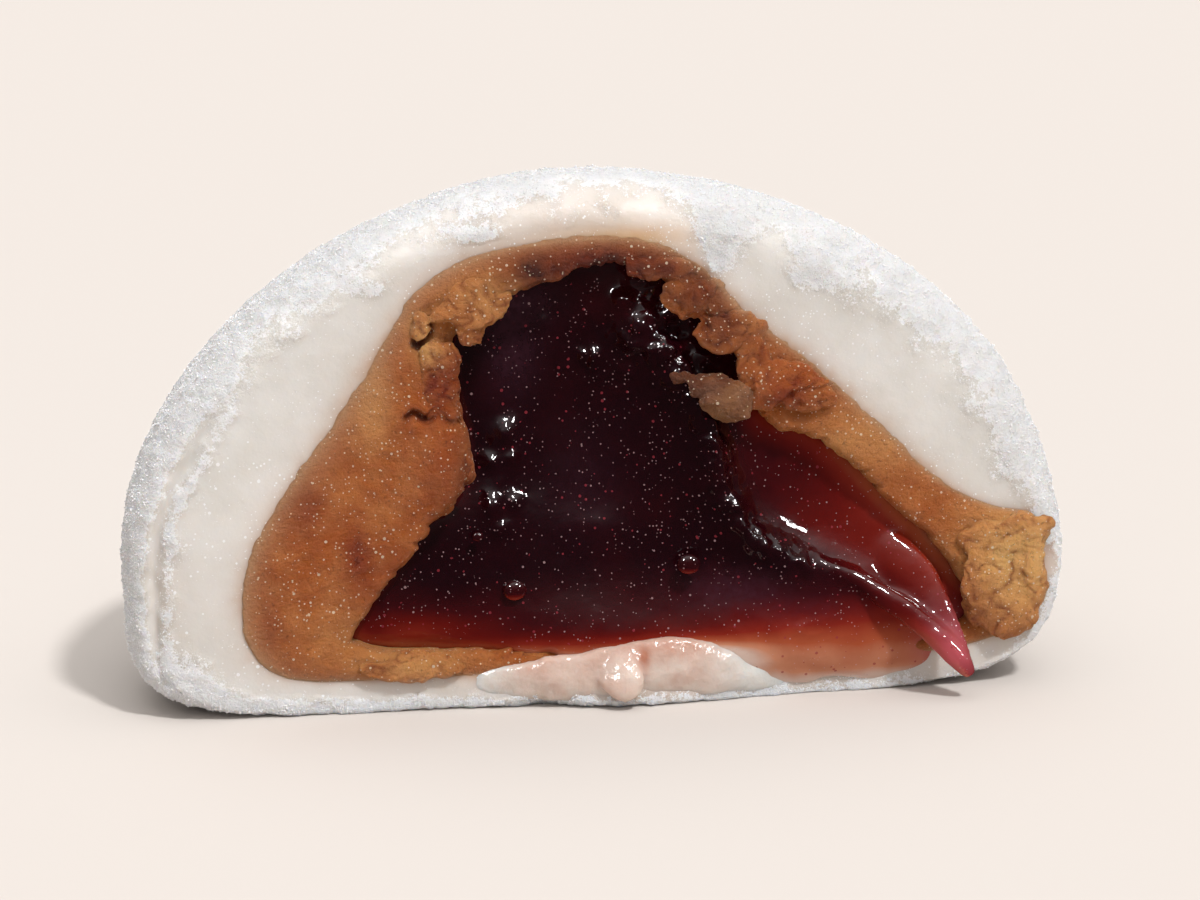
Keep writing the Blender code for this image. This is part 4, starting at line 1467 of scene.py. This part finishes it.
@dataclass
class PasteCrumb:
    """The crumb of paste that sticks to the jelly: a few flakes pressed together."""

    where: CutFrame
    flakes: tuple[tuple[Triple, Triple], ...] = (
        ((0.3, 0.35, -0.2), (1.5, 0.55, 1.3)),
        ((-0.8, 0.45, 0.7), (1.4, 0.45, 0.75)),
        ((-2.1, 0.8, 1.2), (0.8, 0.35, 0.45)),
    )
    voxel: float = 0.07
    smoothing: int = 2

    def build(self) -> bpy.types.Object:
        """Broken flakes fused in the place of the crumb's solid, with torn edges."""
        low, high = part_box(Node.CRUMB.value)
        middle = self.where.to_cut(np.array([(low + high) / 2]))[0]
        lumps = [
            broken_lump(tuple(middle + offset), half, 124 + index, 64, 12)
            for index, (offset, half) in enumerate(self.flakes)
        ]
        form = Form.join([Form.from_rings(rings) for rings in lumps])
        mesh = fuse("crumb", form, self.where, self.voxel, self.smoothing)
        places = self.where.to_cut(mesh_rows(mesh.vertices, "co"))
        crags = 0.10 * layered_noise(places, 0.9, 125, 4, 0.6) - 0.08 * wrinkle_noise(places, 0.6, 126)
        places += mesh_rows(mesh.vertex_normals, "vector") * crags[:, None]
        sideways = np.stack([layered_noise(places, 1.2, seed, 3, 0.65) for seed in (128, 129)], axis=1)
        places[:, [0, 2]] += 0.4 * sideways
        move_points(mesh, self.where.to_model(places))
        shade = 0.3 * layered_noise(places, 1.1, 127)
        upper = smooth_step((places[:, 2] - middle[2]) - 0.6 * (places[:, 0] - middle[0]), 0.0, 0.8)
        for name, value in (("red", 0.05), ("gold", 0.12 * (1 - upper)), ("dark", 0.18 + 0.35 * upper)):
            paint(mesh, name, value + shade)
        finish = BeanPasteFinish(base=(0.22, 0.080, 0.034), light=(0.36, 0.16, 0.080))
        return finish_piece("crumb", mesh, finish.make(), Node.CRUMB)


@dataclass
class Studio:
    """A plain pale floor, soft light from the front right, and the camera of the photograph."""

    where: CutFrame
    azimuth: float = -9.0
    elevation: float = 14.0
    distance: float = 260.0
    lens: float = 130.7
    aim: Triple = (1.045, 0.019, 15.733)
    floor_colour: Triple = (0.640, 0.590, 0.552)
    floor_half: float = 4000.0
    sky_stops: tuple[Pair, ...] = (
        (0.0, 0.04), (0.50, 0.06), (0.62, 0.10), (0.75, 0.32), (0.88, 1.20), (1.0, 2.3),
    )
    sky_tint: Triple = (1.0, 0.985, 0.97)
    sky_strength: float = 0.80
    key: tuple[float, float, float, float] = (27.0, 55.0, 2.1, 6.0)
    fill: tuple[float, float, float, float] = (-12.0, 22.0, 0.38, 50.0)
    windows: FourRows = (
        (44.0, 30.0, 1.6, 7.0),
        (-38.0, 38.0, 1.6, 7.0),
    )

    @staticmethod
    def towards(azimuth: float, elevation: float) -> Vector:
        """The direction of a place seen from the object; azimuth 0 is straight before the cut."""
        turn, lift = math.radians(azimuth), math.radians(elevation)
        return Vector((math.sin(turn) * math.cos(lift), -math.cos(turn) * math.cos(lift), math.sin(lift)))

    def camera(self) -> None:
        """The camera at the photograph's angle."""
        eye = bpy.data.cameras.new("camera")
        eye.lens = self.lens
        eye.clip_start = 0.01
        holder = to_object("camera", eye)
        back = self.towards(self.azimuth, self.elevation)
        aim = Vector(self.where.to_model(np.array([self.aim]))[0])
        holder.location = aim + back * self.distance * MM
        holder.rotation_euler = (-back).to_track_quat("-Z", "Y").to_euler()
        bpy.context.scene.camera = holder

    def lamp(self, name: str, azimuth: float, elevation: float, strength: float,
             angle: float) -> bpy.types.Object:
        """A distant lamp in a direction seen from the object; the angle is how wide it looks."""
        sun = bpy.data.lights.new(name, "SUN")
        sun.energy = strength
        sun.angle = math.radians(angle)
        lamp = to_object(name, sun)
        lamp.rotation_euler = self.towards(azimuth, elevation).to_track_quat("Z", "Y").to_euler()
        return lamp

    def lights(self) -> None:
        """The key light, a fill that nothing mirrors, and the windows that only wet surfaces mirror."""
        self.lamp("key", *self.key)
        self.lamp("fill", *self.fill).visible_glossy = False
        for index, window in enumerate(self.windows):
            self.lamp(f"window {index}", *window).visible_diffuse = False

    def sky(self) -> None:
        """A pale sky, bright overhead and dim towards the floor."""
        world = bpy.data.worlds.new("sky")
        world.use_nodes = True
        w = Wiring(world.node_tree)
        split = w.node("ShaderNodeSeparateXYZ")
        w.feed(split.inputs[0], w.node("ShaderNodeTexCoord").outputs["Generated"])
        height = w.math("MULTIPLY_ADD", split.outputs["Z"], 0.5, 0.5)
        stops = [(place, tuple(level * part for part in self.sky_tint)) for place, level in self.sky_stops]
        background = world.node_tree.nodes["Background"]
        w.feed(background.inputs["Color"], w.ramp(height, stops))
        background.inputs["Strength"].default_value = self.sky_strength
        bpy.context.scene.world = world

    def floor(self) -> None:
        """A matt floor, which the wet jelly doesn't mirror."""
        half = self.floor_half
        corners = np.array([[-half, -half, 0], [half, -half, 0], [half, half, 0], [-half, half, 0]])
        form = Form(corners, np.array([[0, 1, 2, 3]]), np.zeros((0, 3), int))
        mesh = form.to_mesh("floor", CutFrame((0.0, 0.0)))
        w = MaterialWiring.start("pale floor")
        mesh.materials.append(w.shade(Base_Color=self.floor_colour, Roughness=1.0, Specular_IOR_Level=0.0))
        floor = to_object("floor", mesh)
        floor.visible_glossy = False

    def build(self) -> None:
        """Camera, lights and surroundings."""
        self.camera()
        self.lights()
        self.sky()
        self.floor()
        bpy.context.scene.view_settings.view_transform = "Standard"


def report(piece: bpy.types.Object) -> None:
    """Logs a piece's name and how many triangles it has."""
    piece.data.calc_loop_triangles()
    LOG.info("%s: %d triangles", piece.name, len(piece.data.loop_triangles))


def cut_frame() -> CutFrame:
    """The frame of the cut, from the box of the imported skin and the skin's own sizes."""
    skin = RiceSkin(CutFrame((0.0, 0.0)))
    low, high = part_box(Node.SKIN.value)
    return CutFrame((low.x / MM + skin.left_reach, high.y / MM - skin.rim_depth - skin.back_reach))


def main() -> None:
    """Builds every piece in order."""
    logging.basicConfig(level=logging.INFO, format="%(name)s: %(message)s")
    where = cut_frame()
    Studio(where).build()
    skin = RiceSkin(where)
    report(skin.build())
    report(FlourGrains(where, skin, "fine_flour", GrainShape.SPLINTER, 47000, (0.018, 0.040), 5).build())
    report(FlourGrains(where, skin, "coarse_flour", GrainShape.CRYSTAL, 23000, (0.030, 0.085), 7).build())
    report(WetDough(where).build())
    colours = PasteColours()
    report(BeanPaste(where, colours).build())
    report(PasteChunks(where, colours).build())
    jelly = JellyCore(where)
    report(jelly.build())
    report(jelly.build_bubbles())
    report(PasteCrumb(where).build())


if __name__ == "__main__":
    main()
